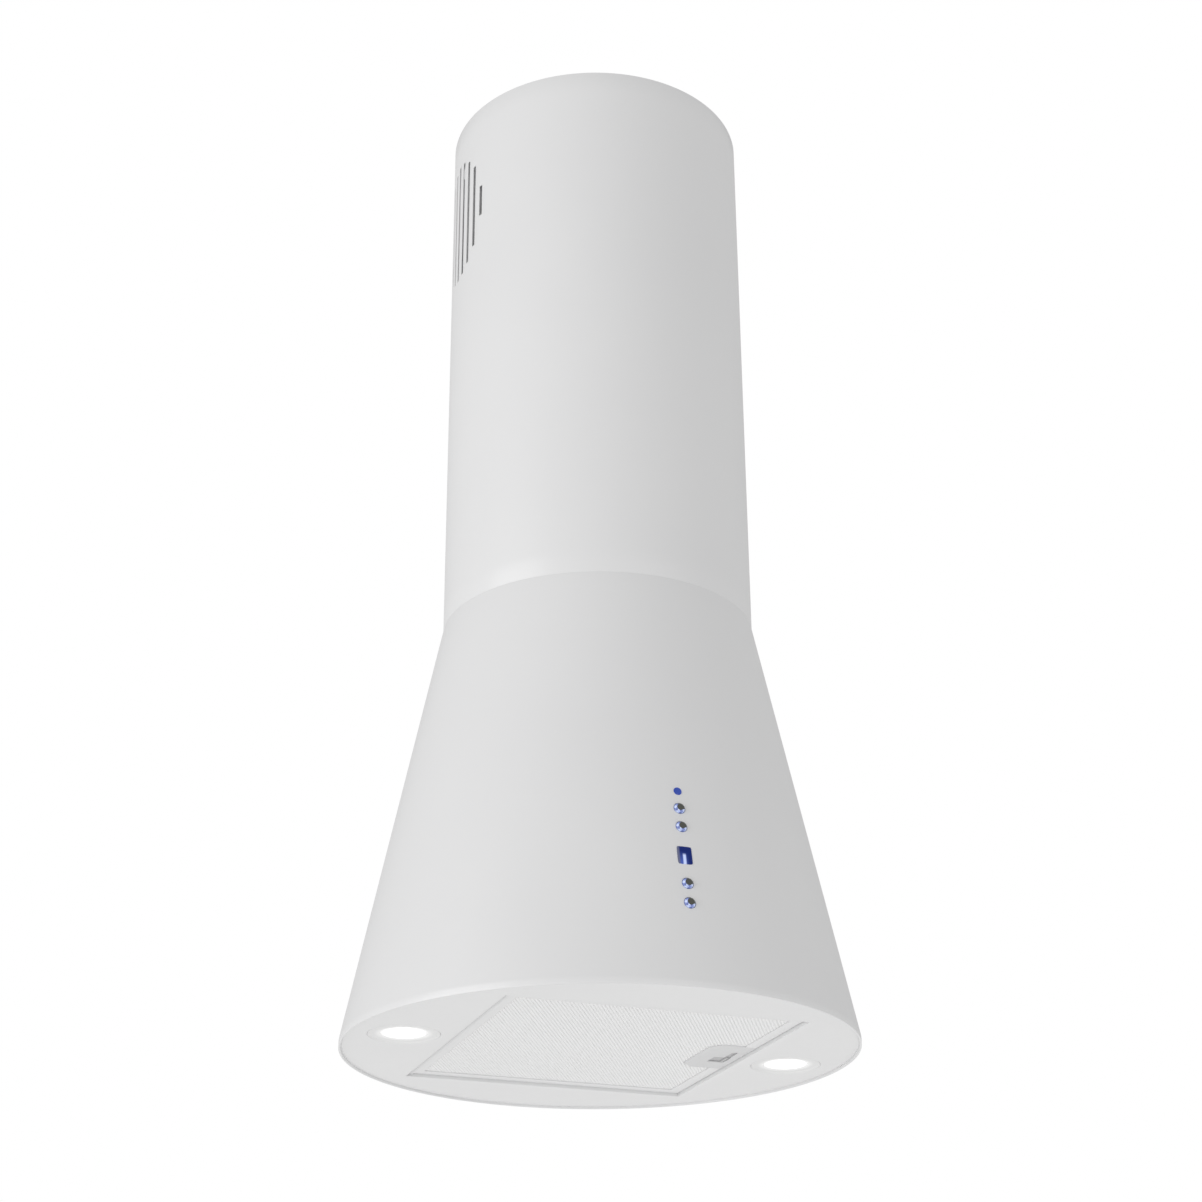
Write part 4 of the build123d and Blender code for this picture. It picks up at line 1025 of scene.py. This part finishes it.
def makeDot(name, look, height):
    # low dome: radius falls as the cosine and height grows as the sine of one angle
    profile = [(0.0, look["back"]), (look["radius"], look["back"])] + [
        (look["radius"] * math.cos(t), look["edge"] + look["dome"] * math.sin(t))
        for t in np.linspace(0, math.pi / 2, 9)]
    turn = np.linspace(0, 2 * math.pi, 40, endpoint=False)
    local = np.concatenate([
        np.stack([r * np.cos(turn), r * np.sin(turn), np.full(40, z)], -1) for r, z in profile])
    return closeUp(buildMesh(name, frontPlace(local, height), [gridQuads(len(profile), 40, False, True)]))


dress(makeDot("indicatorDot", dot, canopy["dot"]), blueDot("blueDot", dot), "hood", "blue_lens", "indicator_lens")
print("controls made")


# Finishes of the parts that keep their own shape

finishOf = {
    "steel": zincSheet, "screw": zincScrew, "black_plastic": blackPlastic, "grey_plastic": greyPlastic,
    "cap_plastic": capPlastic, "motor_paint": motorPaint, "core_iron": coreIron, "rubber": rubberBlack,
    "cast": castAluminium, "board": boardGreen, "mesh_metal": knitMetal, "latch_grey": latchDark,
    "impeller_metal": wheelMetal, "white_coat": whiteCoat, "inner_coat": shadedInnerCoat, "filter_coat": whiteCoat,
    "mesh_coat": whiteCoat, "lamp_ring": ringGlow, "lamp_lens": lensGlow, "crystal": gemStone,
    "display": greyPlastic, "blue_lens": greyPlastic,
}
for name, node in frame["nodes"].items():
    node.data.materials.clear()
    node.data.materials.append(finishOf[slotOf[name]])
print("finishes given to", len(frame["nodes"]), "carried-over parts")


# Stage, light and camera

stageLook = {"floorDrop": 1.9, "floor": (0.84, 0.84, 0.835), "glow": 0.22, "world": 0.575, "size": 60.0}


def makeStage(look):
    # pale floor well below the hood, white surroundings
    size, z = look["size"], rimZ - look["floorDrop"]
    corners = np.array([(-size, -size, z), (size, -size, z), (size, size, z), (-size, size, z)])
    floor = buildMesh("floor", corners, [np.array([[0, 1, 2, 3]])])
    material, nodes, links, shader = newMaterial("paleFloor")
    low, high = tuple(c * 0.97 for c in look["floor"]), look["floor"]
    links.new(blendColours(nodes, links, noiseOn(nodes, links, 3, 3), low, high), shader.inputs["Base Color"])
    setSockets(shader, {"Roughness": 0.6, "Emission Color": (1, 1, 1, 1), "Emission Strength": look["glow"]})
    floor.data.materials.append(material)
    world = bpy.data.worlds.new("studio")
    bpy.context.scene.world = world
    world.use_nodes = True
    nodes, links = world.node_tree.nodes, world.node_tree.links
    back = nodes["Background"]
    back.inputs["Color"].default_value = (1, 1, 1, 1)
    back.inputs["Strength"].default_value = look["world"]
    seen = nodes.new("ShaderNodeBackground")
    seen.inputs["Color"].default_value = (1, 1, 1, 1)
    seen.inputs["Strength"].default_value = 1.0
    path = nodes.new("ShaderNodeLightPath")
    mix = nodes.new("ShaderNodeMixShader")
    links.new(path.outputs["Is Camera Ray"], mix.inputs["Fac"])
    links.new(back.outputs["Background"], mix.inputs[1])
    links.new(seen.outputs["Background"], mix.inputs[2])
    links.new(mix.outputs["Shader"], nodes["World Output"].inputs["Surface"])


middle, rimMiddle = (0, 0, (topZ + rimZ) / 2), (0, 0, rimZ)
lights = {
    "keyLeft": {"place": (-2.9, -0.6, -0.6), "aim": middle, "size": (2.2, 2.6), "power": 34},
    "fillFront": {"place": (0.9, -2.9, -0.7), "aim": middle, "size": (2.4, 2.4), "power": 8},
    "lowFill": {"place": (0.1, 0.1, -2.3), "aim": rimMiddle, "size": (1.8, 1.8), "power": 4.2},
}


def softLight(name, look):
    # panel light that looks at a point
    place, aim = np.array(look["place"]), np.array(look["aim"])
    data = bpy.data.lights.new(name, "AREA")
    data.shape = "RECTANGLE"
    data.size, data.size_y = look["size"]
    data.energy = look["power"]
    light = bpy.data.objects.new(name, data)
    bpy.context.scene.collection.objects.link(light)
    back = place - aim
    back = back / np.linalg.norm(back)
    side = np.cross((0, 0, 1), back)
    side = side / np.linalg.norm(side)
    up = np.cross(back, side)
    light.matrix_world = Matrix([(side[k], up[k], back[k], place[k]) for k in range(3)] + [(0, 0, 0, 1)])


makeStage(stageLook)
for name, look in lights.items():
    softLight(name, look)

cameraLook = {
    "lens": 67.57, "distance": 1.67458, "below": 0.40436, "turn": 20.1, "pan": 0.102, "tilt": 24.9, "roll": -0.395,
}


def makeCamera(look):
    # stands at a distance from the axis, turned from the front, below the rim, looking up
    turn, pan = math.radians(look["turn"]), math.radians(look["pan"])
    tilt, roll = math.radians(look["tilt"]), math.radians(look["roll"])
    data = bpy.data.cameras.new("viewCamera")
    data.sensor_width = 36
    data.lens = look["lens"]
    camera = bpy.data.objects.new("viewCamera", data)
    bpy.context.scene.collection.objects.link(camera)
    heading = turn + pan
    place = (-look["distance"] * math.sin(turn), -look["distance"] * math.cos(turn), rimZ - look["below"])
    ahead = np.array([math.sin(heading) * math.cos(tilt), math.cos(heading) * math.cos(tilt), math.sin(tilt)])
    right = np.array([math.cos(heading), -math.sin(heading), 0])
    up = np.cross(right, ahead)
    side = right * math.cos(roll) + up * math.sin(roll)
    rise = up * math.cos(roll) - right * math.sin(roll)
    camera.matrix_world = Matrix([(side[k], rise[k], -ahead[k], place[k]) for k in range(3)] + [(0, 0, 0, 1)])
    bpy.context.scene.camera = camera


makeCamera(cameraLook)
bpy.context.scene.view_settings.view_transform = "Standard"
print("stage, light and camera set")

bpy.context.view_layer.update()
